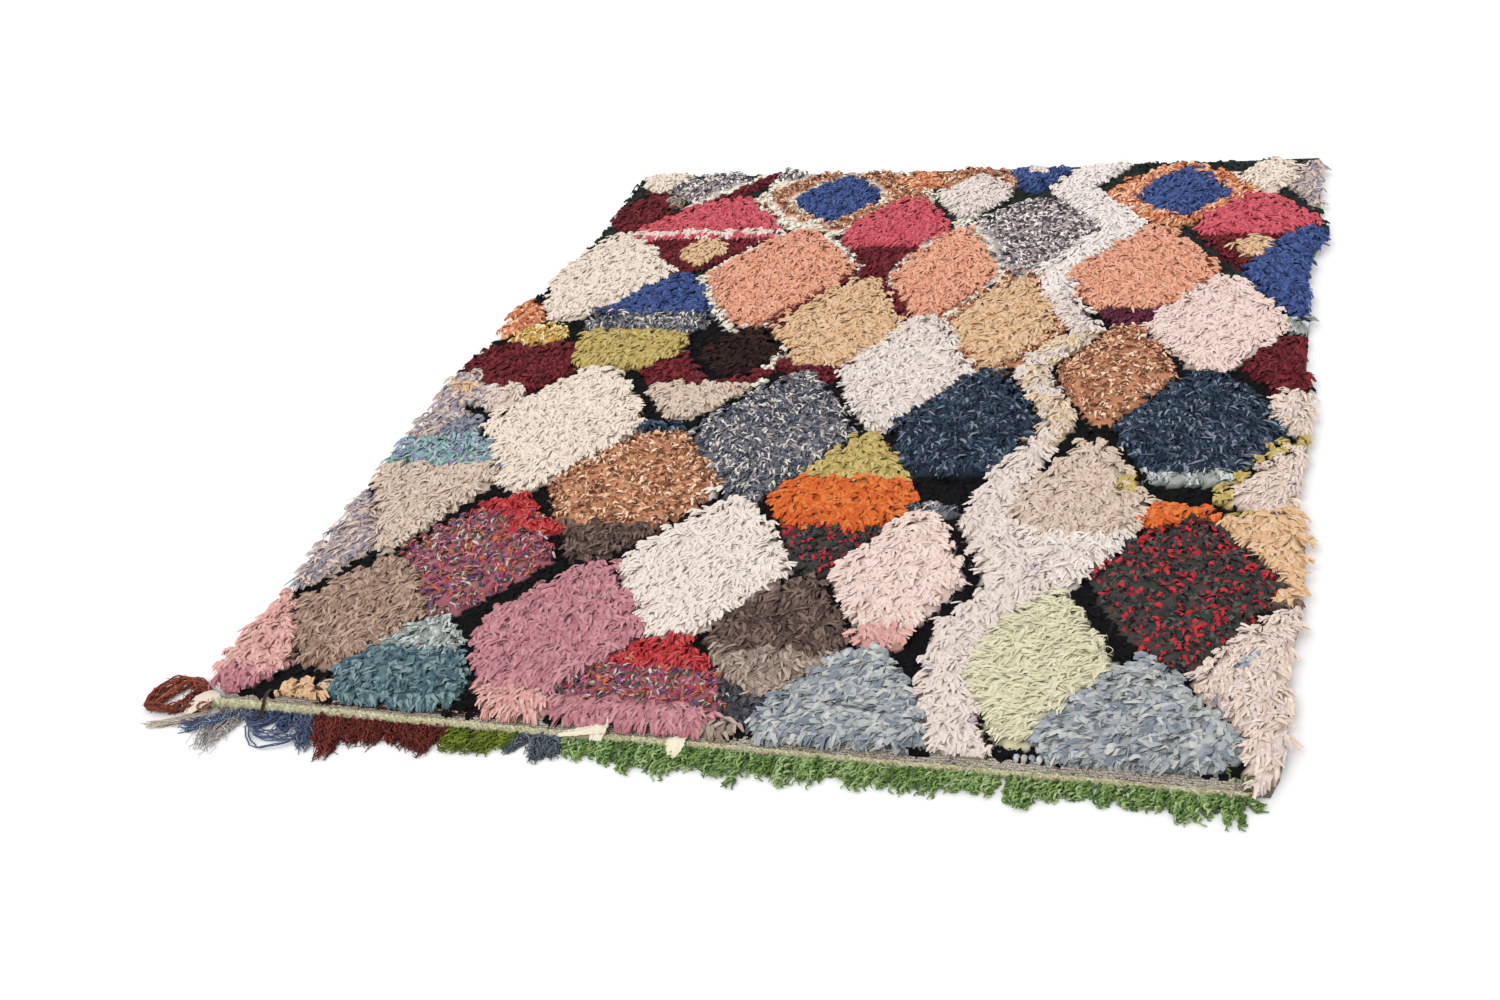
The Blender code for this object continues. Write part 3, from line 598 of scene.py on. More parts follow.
class Finish:
    """A cloth or yarn material, and the nodes that make it."""

    def __init__(self, name, roughness=0.9, sheen=0.0):
        self.material = bpy.data.materials.new(name)
        self.material.use_nodes = True
        self.tree = self.material.node_tree
        self.shader = self.tree.nodes["Principled BSDF"]
        looks = {"Roughness": roughness, "Specular IOR Level": 0.2}
        looks.update({"Sheen Weight": sheen, "Sheen Roughness": 0.6})
        for key, value in looks.items():
            self.shader.inputs[key].default_value = value

    def node(self, kind, settings=None, sockets=None, out=0):
        """A node of this kind, its settings made first and then its sockets set or linked."""
        made = self.tree.nodes.new(kind)
        for name, value in (settings or {}).items():
            setattr(made, name, value)
        for key, value in (sockets or {}).items():
            self.feed(made.inputs[key], value)
        return Value(self, made.outputs[out])

    def feed(self, socket, value):
        if isinstance(value, Value):
            self.tree.links.new(value.socket, socket)
        else:
            socket.default_value = value

    def one_of(self, chance, colours):
        """One of the colours, by a number from 0 to 1."""
        picked = self.node("ShaderNodeValToRGB", None, {0: chance})
        ramp = picked.socket.node.color_ramp
        ramp.interpolation = "CONSTANT"
        while len(ramp.elements) < len(colours):
            ramp.elements.new(1.0)
        for step, (element, colour) in enumerate(zip(ramp.elements, colours)):
            element.position = step / len(colours)
            element.color = rgba(*colour)
        return picked

    def mix(self, factor, first, second, blend="MIX"):
        settings = {"data_type": "RGBA", "blend_type": blend}
        return self.node("ShaderNodeMix", settings, {0: factor, 6: first, 7: second}, out=2)

    def shaded(self, colour, shade):
        grey = self.node("ShaderNodeCombineColor", None, {0: shade, 1: shade, 2: shade})
        return self.mix(1.0, colour, grey, "MULTIPLY")

    def scaled(self, vector, factors):
        return self.node("ShaderNodeVectorMath", {"operation": "MULTIPLY"}, {0: vector, 1: factors})

    def noise(self, vector, scale, detail=2.0, roughness=0.5):
        sockets = {"Vector": vector, "Scale": scale, "Detail": detail, "Roughness": roughness}
        return self.node("ShaderNodeTexNoise", None, sockets)

    def single(self, operation, value):
        return self.node("ShaderNodeMath", {"operation": operation}, {0: value})

    def mapped(self, value, *ends):
        """The value, with the range between the first two ends moved to that of the last two."""
        return self.node("ShaderNodeMapRange", None, dict(enumerate((value, *ends))))

    def place(self):
        return self.node("ShaderNodeTexCoord", out=3)

    def strip(self, out=1):
        """The strip attribute: across or around, along, and a random number for each strip."""
        return self.node("ShaderNodeAttribute", {"attribute_name": "strip"}, out=out)

    def parts(self, vector):
        split = self.node("ShaderNodeSeparateXYZ", None, {0: vector})
        return [Value(self, output) for output in split.socket.node.outputs]

    def dress(self, colour, bump, distance, strength):
        """Sets the colour and the bump, and gives back the material."""
        sockets = {"Strength": strength, "Distance": distance, "Height": bump}
        self.feed(self.shader.inputs["Base Color"], colour)
        self.feed(self.shader.inputs["Normal"], self.node("ShaderNodeBump", None, sockets))
        return self.material


def rag_finish(kind):
    """Cut cotton or jersey: a colour for each strip, rounded sides, lengthwise creases and a fine knit, with
    painted shade in the creases and towards each strip's root, both deeper on dark rags.
    """
    made = Finish(kind.name, 0.95, 0.22 * paleness(kind))
    strip = made.strip()
    across, along, chance = made.parts(strip)
    colour = made.one_of(chance, kind.colours)
    second = made.single("FRACT", chance * 37.7)
    creases = made.noise(made.scaled(strip, (1.4, 1.2, 91.0)), 2.0, 3.0, 0.6)
    knit = made.noise(made.place(), 700.0, 1.0)
    # How deep the painted shade in the creases and at the roots goes: deeper on dark rags
    depth = max(0.0, 1.0 - 1.3 * paleness(kind))
    # The creases darken the colour as painted shade; the tone for each strip and the knit are the rag's own
    shade = 0.94 + second * 0.06 + (creases - 0.5) * (0.08 + 0.16 * depth) + (knit - 0.5) * 0.10
    # Painted shade towards each strip's root, where it goes down among the others
    root = made.mapped(along, 0.0, 0.30, 0.98 - 0.16 * depth, 1.0)
    bump = creases * 0.6 + knit * 0.2 - across * across * 0.4
    return made.dress(made.shaded(colour, shade * root), bump, 0.0014, 0.5)


def bed_finish():
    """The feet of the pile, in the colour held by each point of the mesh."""
    made = Finish("pile_bed", 0.95)
    tuft = made.noise(made.place(), 220.0, 3.0, 0.6)
    # The colour is lighter on the high spots of the tuft bump and darker in its hollows: painted shade
    return made.dress(made.shaded(made.strip(out=0), 0.95 + (tuft - 0.5) * 0.4), tuft, 0.004, 0.6)


def yarn_finish(name, *colours, tone_and_shade_mottle=0.0):
    """Twisted wool: a colour for each yarn, painted shade along the slanting ply lines, and loose fibre and
    mottling that are partly the wool's own tone and partly painted light and shade.
    """
    made = Finish(name, 0.95, 0.10)
    around, along, chance = made.parts(made.strip())
    colour = made.one_of(chance, colours)
    ply = made.single("SINE", (around * 2.0 + along * (1.0 / PLY_PITCH)) * (2.0 * math.pi))
    fibre = made.noise(made.place(), 900.0, 2.0)
    tone_and_shade_patches = made.noise(made.place(), 240.0, 2.0, 0.7)
    # Painted shade darkens the ply lines; the fibre and the patches are partly the wool's tone and partly
    # painted light and shade
    shade = 0.92 + ply * 0.10 + (fibre - 0.5) * 0.5 + (tone_and_shade_patches - 0.5) * tone_and_shade_mottle
    return made.dress(made.shaded(colour, shade), ply * 0.5 + fibre, 0.0008, 0.8)


def weave_finish():
    """Flat plain weave, its warp and weft in two colours with pale flecks."""
    made = Finish("ground_weave")
    place = made.place()
    x, y, _ = made.parts(place)
    turns = 2.0 * math.pi / WEAVE_PITCH
    weave = made.single("SINE", x * turns) * made.single("SINE", y * turns) * 0.5 + 0.5
    fleck = made.noise(place, 160.0, 2.0)
    colour = made.mix(fleck * 0.4, made.mix(weave, rgba(96, 104, 92), rgba(66, 70, 64)), rgba(190, 190, 170))
    return made.dress(colour, weave + fleck * 0.5, 0.001, 0.8)


def rag_end_finish(name, colour, grain, scale, least, crease_shade_range, depth):
    """One plain rag with soft creases, which darken its colour as painted shade. The grain is the made
    finish's place or its strip.
    """
    made = Finish(name, 0.95, 0.12)
    vector = made.place() if grain == "place" else made.scaled(made.strip(), (2.0, 1.0, 1.0))
    crease = made.noise(vector, scale, 3.0)
    # The creases darken the colour: painted shade
    return made.dress(made.shaded(rgba(*colour), least + crease * crease_shade_range), crease, depth, 0.7)


# Meshes from arrays


def grid_mesh(name, points, strip, closed=False):
    """One mesh of many grids of quads. Points and the strip attribute are grids x rows x columns x 3.

    A closed grid's columns run round a tube, whose two ends are capped.
    """
    count, rows, columns = points.shape[:3]
    index = np.arange(count * rows * columns).reshape(count, rows, columns)
    after = np.roll(index, -1, axis=2)
    quads = np.stack([index[:, :-1], after[:, :-1], after[:, 1:], index[:, 1:]], axis=-1)
    quads = quads[:, :, : columns if closed else columns - 1].reshape(-1, 4)
    corners = [quads.ravel()]
    sizes = [np.full(len(quads), 4)]
    if closed:
        for row, turn in ((0, -1), (rows - 1, 1)):
            corners.append(index[:, row, ::turn].ravel())
            sizes.append(np.full(count, columns))
    corners = np.concatenate(corners).astype(np.int32)
    sizes = np.concatenate(sizes).astype(np.int32)
    starts = np.concatenate([[0], np.cumsum(sizes)[:-1]]).astype(np.int32)
    mesh = bpy.data.meshes.new(name)
    mesh.vertices.add(index.size)
    mesh.vertices.foreach_set("co", points.ravel().astype(np.float32))
    mesh.loops.add(len(corners))
    mesh.loops.foreach_set("vertex_index", corners)
    mesh.polygons.add(len(sizes))
    mesh.polygons.foreach_set("loop_start", starts)
    mesh.polygons.foreach_set("loop_total", sizes)
    mesh.polygons.foreach_set("use_smooth", np.ones(len(sizes), bool))
    attribute = mesh.attributes.new("strip", "FLOAT_VECTOR", "POINT")
    attribute.data.foreach_set("vector", strip.ravel().astype(np.float32))
    mesh.update()
    mesh.validate()
    return mesh


def unit(vectors):
    return vectors / np.maximum(np.linalg.norm(vectors, axis=-1, keepdims=True), 1e-9)


def beside(line):
    """Level directions at right angles to a path."""
    return unit(np.cross(np.gradient(line, axis=0), (0.0, 0.0, 1.0)))


def lifted(points, least):
    """The points, with none of them below this height."""
    points[..., 2] = np.maximum(points[..., 2], least)
    return points


def shares(rows):
    return np.linspace(0.0, 1.0, rows)


def piece(name, mesh, material, slot, *nodes):
    """A shown piece of the rug: it rides on the root and stands for these solids."""
    made = bpy.data.objects.new(name, mesh)
    mesh.materials.clear()
    mesh.materials.append(material)
    bpy.context.scene.collection.objects.link(made)
    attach(made, "root")
    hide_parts(*nodes)
    return made


def thicken(made, thickness, offset):
    solid = made.modifiers.new("thickness", "SOLIDIFY")
    solid.thickness = thickness
    solid.offset = offset


def strips_grid(root, bearing, height, reach, width, droop, kind, course, rng):
    """Rag strips: each rises from its root, then lies over its bearing, arched and a little crumpled."""
    count, rows = len(root), len(course.forward)
    ahead = np.stack([np.sin(bearing), -np.cos(bearing), np.zeros(count)], axis=-1)[:, None]
    side = np.stack([np.cos(bearing), np.sin(bearing), np.zeros(count)], axis=-1)[:, None]
    up = np.array([0.0, 0.0, 1.0])
    forward = np.tile(course.forward, (count, 1))
    forward[:, 1:-1] *= rng.uniform(0.7, 1.3, (count, rows - 2))
    rise = np.tile(course.rise, (count, 1))
    rise[:, -1] += rng.uniform(-0.12, 0.10, count)
    rise *= 1.0 - np.outer(droop, course.forward**2)
    rise[:, 1:] += rng.normal(0.0, 0.04 * kind.crumple, (count, rows - 1))
    sway = rng.normal(0.0, 0.20, count)[:, None] * course.forward**2
    sway[:, 1:] += rng.normal(0.0, 0.06 * kind.crumple, (count, rows - 1))
    path = (
        root[:, None]
        + ahead * (forward * reach[:, None])[..., None]
        + side * (sway * reach[:, None])[..., None]
        + up * (rise * height[:, None])[..., None]
    )
    along = unit(np.gradient(path, axis=1))
    facing = unit(np.cross(side, along))
    turn = rng.normal(0.0, 0.30, count)[:, None] + rng.normal(0.0, 0.35, count)[:, None] * course.forward
    turn = (turn * kind.crumple)[..., None]
    across = np.cos(turn) * side + np.sin(turn) * facing
    profile = np.interp(course.forward, (0.0, 0.1, 0.5, 1.0), (0.6, 0.9, 1.0, kind.tip))
    half = 0.5 * width[:, None] * profile * rng.uniform(0.85, 1.15, (count, rows))
    edges = np.array((-1.0, 1.0))
    points = path[:, :, None] + across[:, :, None] * (half[:, :, None] * edges)[..., None]
    points[..., 2] += rng.normal(0.0, 0.10 * kind.crumple, points.shape[:3]) * half[:, :, None]
    slant = rng.normal(0.0, 0.45, count)[:, None, None] * half[:, -1][:, None, None]
    points[:, -1] += along[:, -1][:, None] * slant * edges[:, None]
    strip = np.empty_like(points)
    strip[..., 0] = edges
    strip[..., 1] = course.forward[:, None]
    strip[..., 2] = rng.uniform(0.0, 1.0, count)[:, None, None]
    return lifted(points, 0.0008), strip


def tubes_mesh(name, path, radius, sides, rng):
    """Round yarns: path is yarns x rows x 3, and radius is for each row of each yarn or broader."""
    along = unit(np.gradient(path, axis=1))
    side = unit(np.cross(along, np.array([0.23, 0.17, 0.96])))
    up = np.cross(side, along)
    angle = 2.0 * np.pi * np.arange(sides) / sides
    ring = np.cos(angle)[:, None] * side[:, :, None] - np.sin(angle)[:, None] * up[:, :, None]
    points = path[:, :, None] + ring * np.broadcast_to(radius, path.shape[:2])[:, :, None, None]
    steps = np.linalg.norm(np.diff(path, axis=1), axis=-1)
    strip = np.empty_like(points)
    strip[..., 0] = angle / (2.0 * np.pi)
    strip[..., 1] = np.concatenate([np.zeros((len(path), 1)), np.cumsum(steps, axis=1)], axis=1)[:, :, None]
    strip[..., 2] = rng.uniform(0.0, 1.0, len(path))[:, None, None]
    return grid_mesh(name, lifted(points, 0.0), strip, closed=True)


def waves(count, rows, turns, rng):
    """Smooth random wander for each yarn: two slow waves, zero at the root."""
    share = shares(rows)
    found = np.zeros((count, rows, 3))
    for scale in (1.0, 0.5):
        phase = rng.uniform(0.0, 2.0 * np.pi, (count, 1, 3))
        rate = rng.uniform(0.6, 1.4, (count, 1, 3)) * turns / scale
        found += scale * np.sin(2.0 * np.pi * rate * share[:, None] + phase)
    return found * np.minimum(share * 4.0, 1.0)[:, None]


def twisted(x, y, radius, strands, pitch):
    """The paths of the strands of a cord along X, and their thickness."""
    angle = 2.0 * np.pi * (x[None] / pitch + np.arange(strands)[:, None] / strands)
    path = np.repeat(np.stack([x, y, 1.08 * radius], axis=-1)[None], strands, axis=0)
    path[..., 1] += 0.50 * radius * np.cos(angle)
    path[..., 2] += 0.50 * radius * np.sin(angle)
    return path, np.tile(0.60 * radius, (strands, 1))


def picked(paths, count, first, rng):
    """Places picked at random on yarns, none of them by an end."""
    yarn = rng.integers(0, len(paths), count)
    return paths[yarn, rng.integers(first, paths.shape[1] - 3, count)]


def fibres(start, lean, length, rows, turns, wander, rng, stretch=1.0):
    """Short loose fibres, one from each start."""
    count = len(start)
    toward = unit(rng.normal(0.0, 1.0, (count, 3)) * stretch + lean)[:, None]
    path = start[:, None] + toward * shares(rows)[:, None] * rng.uniform(*length, (count, 1, 1))
    return path + waves(count, rows, turns, rng) * wander


def rounded(points, rows, passes=6):
    """A rounded path in metres through or near points in millimetres."""
    points = np.array(points) / 1000.0
    at = shares(len(points))
    path = np.stack([np.interp(shares(rows), at, points[:, axis]) for axis in range(3)], axis=-1)
    for _ in range(passes):
        path[1:-1] = (path[:-2] + path[1:-1] * 2.0 + path[2:]) / 4.0
    return path


def tab_mesh(name, points, widths, rng):
    """A rumpled strip of rag along a path."""
    rows, columns = 22, 9
    share = shares(rows)
    line = rounded(points, rows, 1)
    half = np.interp(share, shares(len(widths)), mm(*widths)) / 2.0 * (1.0 + rng.normal(0.0, 0.05, rows))
    along = unit(np.gradient(line, axis=0))
    side = beside(line)
    facing = np.cross(side, along)
    across = np.linspace(-1.0, 1.0, columns)
    sheet = line[:, None] + side[:, None] * (half[:, None] * across)[..., None]
    fold = 0.0011 * np.sin(across * 5.0 + share[:, None] * 3.0)
    fold += 0.0007 * np.sin(across * 9.0 - share[:, None] * 5.0)
    sheet += facing[:, None] * fold[..., None]
    sheet[-1] += along[-1] * (rng.normal(0.0, 0.0015, columns))[:, None]
    strip = np.full_like(sheet, 0.5)
    strip[..., 0] = across
    strip[..., 1] = share[:, None]
    return grid_mesh(name, lifted(sheet, 0.0012)[None], strip[None])


def chart(x, y):
    """The rag at each place of the pattern, and how far inside its lozenge the place is."""
    near_x = x + 0.006 * drift(x, y, 0.030, 3.0)
    near_y = y + 0.007 * drift(x, y, 0.030, 7.0)
    dusk = y + 0.05 * drift(x, y, 0.10, 11.0)
    found = np.where(dusk > CHARCOAL_FROM, "charcoal", "black").astype(object)
    inner = np.ones(x.shape)
    fleck = 0.5 + 0.5 * drift(x, y, 0.018, 19.0)

    def away_from(start, end):
        run = np.subtract(end, start)
        share = ((near_x - start[0]) * run[0] + (near_y - start[1]) * run[1]) / (run @ run)
        share = np.clip(share, 0.0, 1.0)
        return np.hypot(near_x - start[0] - run[0] * share, near_y - start[1] - run[1] * share), share

    nearest = np.full(x.shape, BEYOND)
    for a, b in zip(ZIGZAG, ZIGZAG[1:]):
        away, share = away_from(a[:2], b[:2])
        nearest = np.minimum(nearest, away / (a.half_width + (b.half_width - a.half_width) * share))
    for p in PATCHES:
        across = near_x - p.x
        along = near_y - p.y
        reach_x = np.where(across < 0, p.left, p.right)
        reach_y = np.where(along < 0, p.down, p.up)
        share = np.abs(across / reach_x) ** p.power + np.abs(BLUNT * along / reach_y) ** p.power
        share = np.maximum(share ** (1.0 / p.power), np.abs(along / reach_y))
        if p.edge:
            rim = (share >= 1.0) & (share < 1.0 + EDGE_WIDTH / min(p.left, p.right))
            rim &= fleck < EDGE_SHARE[p.edge]
            found[rim] = p.edge
            inner[rim] = 0.1
        inside = share < 1.0
        inner[inside] = 1.0 - share[inside]
        top = BEYOND
        for name, floor in zip(p.rags, p.floors):
            found[inside & (near_y <= top) & (near_y > floor)] = name
            top = floor
    for row in LINES:
        for start, end in zip(row.points, row.points[1:]):
            found[(away_from(start, end)[0] < row.half_width) & (fleck < row.share)] = row.rag
    pale = nearest < 1.0
    found[pale] = np.where(fleck[pale] > LILAC_FROM, "lilac_fleck", "pale_line")
    inner[pale] = LINE_RISE * (1.0 - nearest[pale])
    found[pale & (y > WHITE_FROM)] = "white_line"
    tanned = pale & (y > ZIGZAG_TAN[0]) & (y < ZIGZAG_TAN[1]) & (drift(x, y, 0.05, 23.0) > TAN_FROM)
    found[tanned] = np.where(fleck[tanned] > SAND_FROM, "oatmeal", "sand")
    return found, inner


def knot_places(settings, rng):
    """Every knot's place on the ground cloth, row by row."""
    found = []
    first = NEAR_END + NEAR_BAND + 0.004
    rows = np.arange(first - settings.row_pitch, FAR_END - 0.008, settings.row_pitch)
    for number, y in enumerate(rows):
        left, right = sides_at(y)
        start = left + SIDE_OVERHANG + (number % 2) * settings.knot_pitch / 2.0
        x = np.arange(start, right - SIDE_OVERHANG, settings.knot_pitch)
        keep = (far_edge(x) - y > 0.006) & ((y > first - 0.001) | (x > CORNER_FROM))
        found.append(np.stack([x[keep], np.full(keep.sum(), y)], axis=-1))
    places = np.concatenate(found)
    return places + rng.normal(0.0, 1.0, places.shape) * (0.0012, 0.0035)


class RugPileSettings(bpy.types.PropertyGroup):
    """Sizes of the pile."""

    knot_pitch: FloatProperty(
        name="Knot Pitch", description="Distance between knots along a row", default=0.0095, unit="LENGTH"
    )
    row_pitch: FloatProperty(
        name="Row Pitch", description="Distance between rows of knots", default=0.0155, unit="LENGTH"
    )
    seed: IntProperty(name="Seed", description="Chooses the strips' random lay", default=11)


class RugStageSettings(bpy.types.PropertyGroup):
    """The floor and the lights."""

    floor_colour: FloatVectorProperty(
        name="Floor", description="Colour of the studio floor", default=(0.90, 0.90, 0.90), subtype="COLOR"
    )
    sky: FloatProperty(name="Room Light", description="Strength of the light from all round", default=1.0)
    key: FloatProperty(name="Key Light", description="Strength of the soft key light", default=1.0)


class RUG_OT_ground_cloth(bpy.types.Operator):
    """Lay the woven ground cloth"""

    bl_idname = "rug.ground_cloth"
    bl_label = "Ground Cloth"

    def execute(self, context):
        y = NEAR_END + (FAR_END - NEAR_END) * shares(61)
        left, right = sides_at(y)
        left = left + SIDE_OVERHANG - 0.002
        right = right - SIDE_OVERHANG + 0.002
        x = left[:, None] + (right - left)[:, None] * shares(51)
        points = np.stack([x, bowed(x, y[:, None]), np.full_like(x, 0.0026)], axis=-1)[None]
        mesh = grid_mesh("ground_cloth", points, np.zeros_like(points))
        made = piece("ground_cloth", mesh, weave_finish(), "rag_pile", "pile_field")
        thicken(made, 0.0022, -1.0)
        return {"FINISHED"}


class RUG_OT_rag_pile(bpy.types.Operator):
    """Knot the rag strips into the ground cloth"""

    bl_idname = "rug.rag_pile"
    bl_label = "Rag Pile"

    def execute(self, context):
        settings = context.scene.rug_pile
        rng = np.random.default_rng(settings.seed)
        places = knot_places(settings, rng)
        lean = LEAN * drift(places[:, 0], places[:, 1], LEAN_WIDTH, 31.0)
        names, _ = chart(*self.seen(places, lean).T)
        lay = {kind.name: kind.lay for kind in RAGS}
        lean = lean + np.array([lay[name] for name in names])
        names, inner = chart(*self.seen(places, lean).T)
        for kind in RAGS:
            chosen = np.flatnonzero(names == kind.name)
            if not len(chosen):
                continue
            turn = rng.normal(0.0, kind.spread, len(chosen))
            knots = (places[chosen], lean[chosen] + turn, inner[chosen])
            strips = self.strips(kind, *[np.repeat(values, kind.strips, axis=0) for values in knots], rng)
            mesh = grid_mesh(kind.name, *strips)
            piece("pile_" + kind.name, mesh, rag_finish(kind), "rag_pile", "pile_field")
        return {"FINISHED"}

    @staticmethod
    def seen(places, lean):
        """Where the strips of each knot show: ahead of it, over their bearing."""
        return places + SEEN_AHEAD * np.stack([np.sin(lean), -np.cos(lean)], axis=-1)

    @staticmethod
    def strips(kind, places, bearing, inner, rng):
        """The strips of one kind of rag: how high, how far and which way each of them lies."""
        count = len(places)
        root = np.zeros((count, 3))
        root[:, :2] = places + rng.normal(0.0, 0.0022, (count, 2))
        root[:, 2] = WEAVE_TOP
        x, y = root[:, 0], root[:, 1]
        bearing = bearing + rng.normal(0.0, 0.10 + 0.16 * kind.crumple, count)
        left, right = sides_at(y)
        left = x - left
        right = right - x
        bearing = bearing - LEFT_LEAN * np.maximum(1 - left / SIDE_LEAN_WIDTH, 0.0)
        bearing = bearing + RIGHT_LEAN * np.maximum(1 - right / SIDE_LEAN_WIDTH, 0.0)
        corner = np.clip((x - CORNER_FROM) / CORNER_SIZE, 0.0, 1.0) * (y < NEAR_END + CORNER_SIZE)
        bearing = bearing + CORNER_LEAN * corner
        droop = MOST_DROOP * np.clip(1.0 - np.minimum(left, right) / SIDE_DROOP, 0.0, 1.0)
        droop = np.maximum(droop, MOST_DROOP * corner)
        hang = np.clip(1.0 - (y - NEAR_END - NEAR_BAND) / NEAR_HANG, 0.0, 1.0)
        droop = np.maximum(droop, hang * np.interp(x, BARE_AT, BARE_DROOP))
        dome = 0.84 + 0.16 * np.clip(inner / 0.25, 0.0, 1.0)
        height = (kind.height - WEAVE_TOP) * dome * rng.uniform(1.02 - 0.26 * kind.crumple, 1.04, count)
        reach = kind.reach * rng.uniform(0.70, 1.20, count) * (0.62 + 0.38 * np.clip(inner / 0.24, 0.0, 1.0))
        ahead = np.cos(bearing)
        bare = NEAR_END + np.interp(x, BARE_AT, BARE_BAND)
        room = (y - bare) / np.maximum(ahead, LEAST_AHEAD)
        reach = np.where((ahead > LEAST_AHEAD) & (x < CORNER_FROM), np.minimum(reach, room), reach)
        outward = np.sin(bearing)
        aside = np.where(outward > 0.0, right, left) + SIDE_TIP * rng.uniform(-0.8, 1.0, count)
        reach = np.minimum(reach, np.maximum(aside, 0.006) / np.maximum(np.abs(outward), LEAST_AHEAD))
        width = kind.width * rng.uniform(0.75, 1.25, count)
        course = GROUND_COURSE if kind.name in GROUND_RAGS else PILE_COURSE
        return strips_grid(root, bearing, height, reach, width, droop, kind, course, rng)


class RUG_OT_pile_bed(bpy.types.Operator):
    """Pack the feet of the pile into one lumpy bed under the strips"""

    bl_idname = "rug.pile_bed"
    bl_label = "Pile Bed"

    def execute(self, context):
        rng = np.random.default_rng(17)
        y = np.arange(NEAR_END + NEAR_BAND + 0.001, FAR_END - 0.004, BED_PITCH)[:, None]
        left, right = sides_at(y)
        left = left + BED_INSET
        right = right - BED_INSET
        x = left + (right - left) * shares(round(RUG_WIDTH / BED_PITCH))
        y = bowed(x, y)
        x = x + rng.uniform(-0.25, 0.25, x.shape) * BED_PITCH
        y = y + rng.uniform(-0.25, 0.25, y.shape) * BED_PITCH
        names, inner = chart(x.ravel(), y.ravel())
        colour = np.zeros((names.size, 3))
        height = np.zeros(names.size)
        for kind in RAGS:
            chosen = np.flatnonzero(names == kind.name)
            shades = np.array([linear(shade) for shade in kind.colours])
            random_shade = shades[rng.integers(0, len(shades), len(chosen))]
            # The bed's colour, darkened as painted shade because it lies under the strips
            colour[chosen] = BED_PAINTED_SHADE * (BED_PICKED * random_shade + (1.0 - BED_PICKED) * shades[0])
            height[chosen] = (kind.height - WEAVE_TOP) * (BED_SHARE + BED_PALE_SHARE * paleness(kind))
        height *= 0.50 + 0.50 * np.clip(inner / 0.22, 0.0, 1.0)
        height = (height * rng.uniform(0.90, 1.06, height.shape)).reshape(x.shape)
        height *= np.clip(np.minimum(x - left, right - x) / BED_EDGE, 0.0, 1.0) ** 0.5
        height[0] = height[-1] = 0.0
        points = np.stack([x, y, WEAVE_TOP + height], axis=-1)[None]
        mesh = grid_mesh("pile_bed", points, colour.reshape(points.shape))
        piece("pile_bed", mesh, bed_finish(), "rag_pile", "pile_field")
        return {"FINISHED"}


class RUG_OT_near_band(bpy.types.Operator):
    """Weave the bare speckled band and its row of knots"""

    bl_idname = "rug.near_band"
    bl_label = "Near Band"

    def execute(self, context):
        rng = np.random.default_rng(21)
        x = np.linspace(*BAND_ENDS, 250)
        paths = []
        for row in range(BAND_ROWS):
            y = NEAR_END + 0.0018 + 0.0034 * row + 0.0004 * drift(x, x * 0.0, 0.03, float(row))
            z = 0.0046 + 0.0010 * row + 0.0005 * np.sin(x * 2.0 * np.pi / 0.0075 + row * np.pi)
            paths.append(np.stack([x, y, z], axis=-1))
        made = Finish("band_weft")
        speck = made.noise(made.scaled(made.place(), (1.0, 1.4, 1.0)), 260.0, 1.0)
        colour = made.one_of(made.mapped(speck, 0.3, 0.7, 0.0, 0.999), BAND_COLOURS)
        material = made.dress(colour, speck, 0.001, 0.6)
        mesh = tubes_mesh("band_weft", np.array(paths), 0.0019, 6, rng)
        piece("band_weft", mesh, material, "rag_pile", "pile_field")
        self.tie_knots(rng)
        self.fray(rng)
        return {"FINISHED"}

    @staticmethod
    def fray(rng):
        """Dark fuzz between the band and the first rags."""
        count = 420
        start = np.zeros((count, 3))
        start[:, 0] = rng.uniform(*FRAY_ENDS, count)
        start[:, 1] = NEAR_END + rng.uniform(0.008, 0.016, count)
        start[:, 2] = 0.0085
        path = fibres(start, (0.0, -0.2, 0.5), (0.004, 0.009), 5, 0.8, 0.0008, rng, (1.0, 0.6, 0.3))
        finish = yarn_finish("band_fray", (96, 30, 34), (64, 30, 30), (48, 40, 38), (118, 44, 44))
        mesh = tubes_mesh("band_fray", path, mm(0.7, 0.7, 0.6, 0.5, 0.3), 3, rng)
        piece("band_fray", mesh, finish, "rag_pile", "pile_field")

    @staticmethod
    def tie_knots(rng):
        """Small rounded knots in a row, where the first row of rags is tied."""
        x = np.arange(*KNOT_ROW)
        count = len(x)
        share = shares(6)
        bend = np.sin(np.pi * share)
        path = np.zeros((count, 6, 3))
        path[..., 0] = x[:, None] + rng.normal(0.0, 0.0005, (count, 1))
        path[..., 1] = NEAR_END + 0.0235 - 0.0100 * share + rng.normal(0.0, 0.0005, (count, 1))
        path[..., 2] = 0.0060 + 0.0065 * bend
        mesh = tubes_mesh("band_knots", path, 0.0014 + 0.0034 * bend**0.7, 8, rng)
        greys = ((186, 192, 196), (170, 178, 184), (204, 206, 206), (150, 154, 158), (184, 178, 170))
        piece("band_knots", mesh, yarn_finish("band_knots", *greys), "rag_pile", "pile_field")


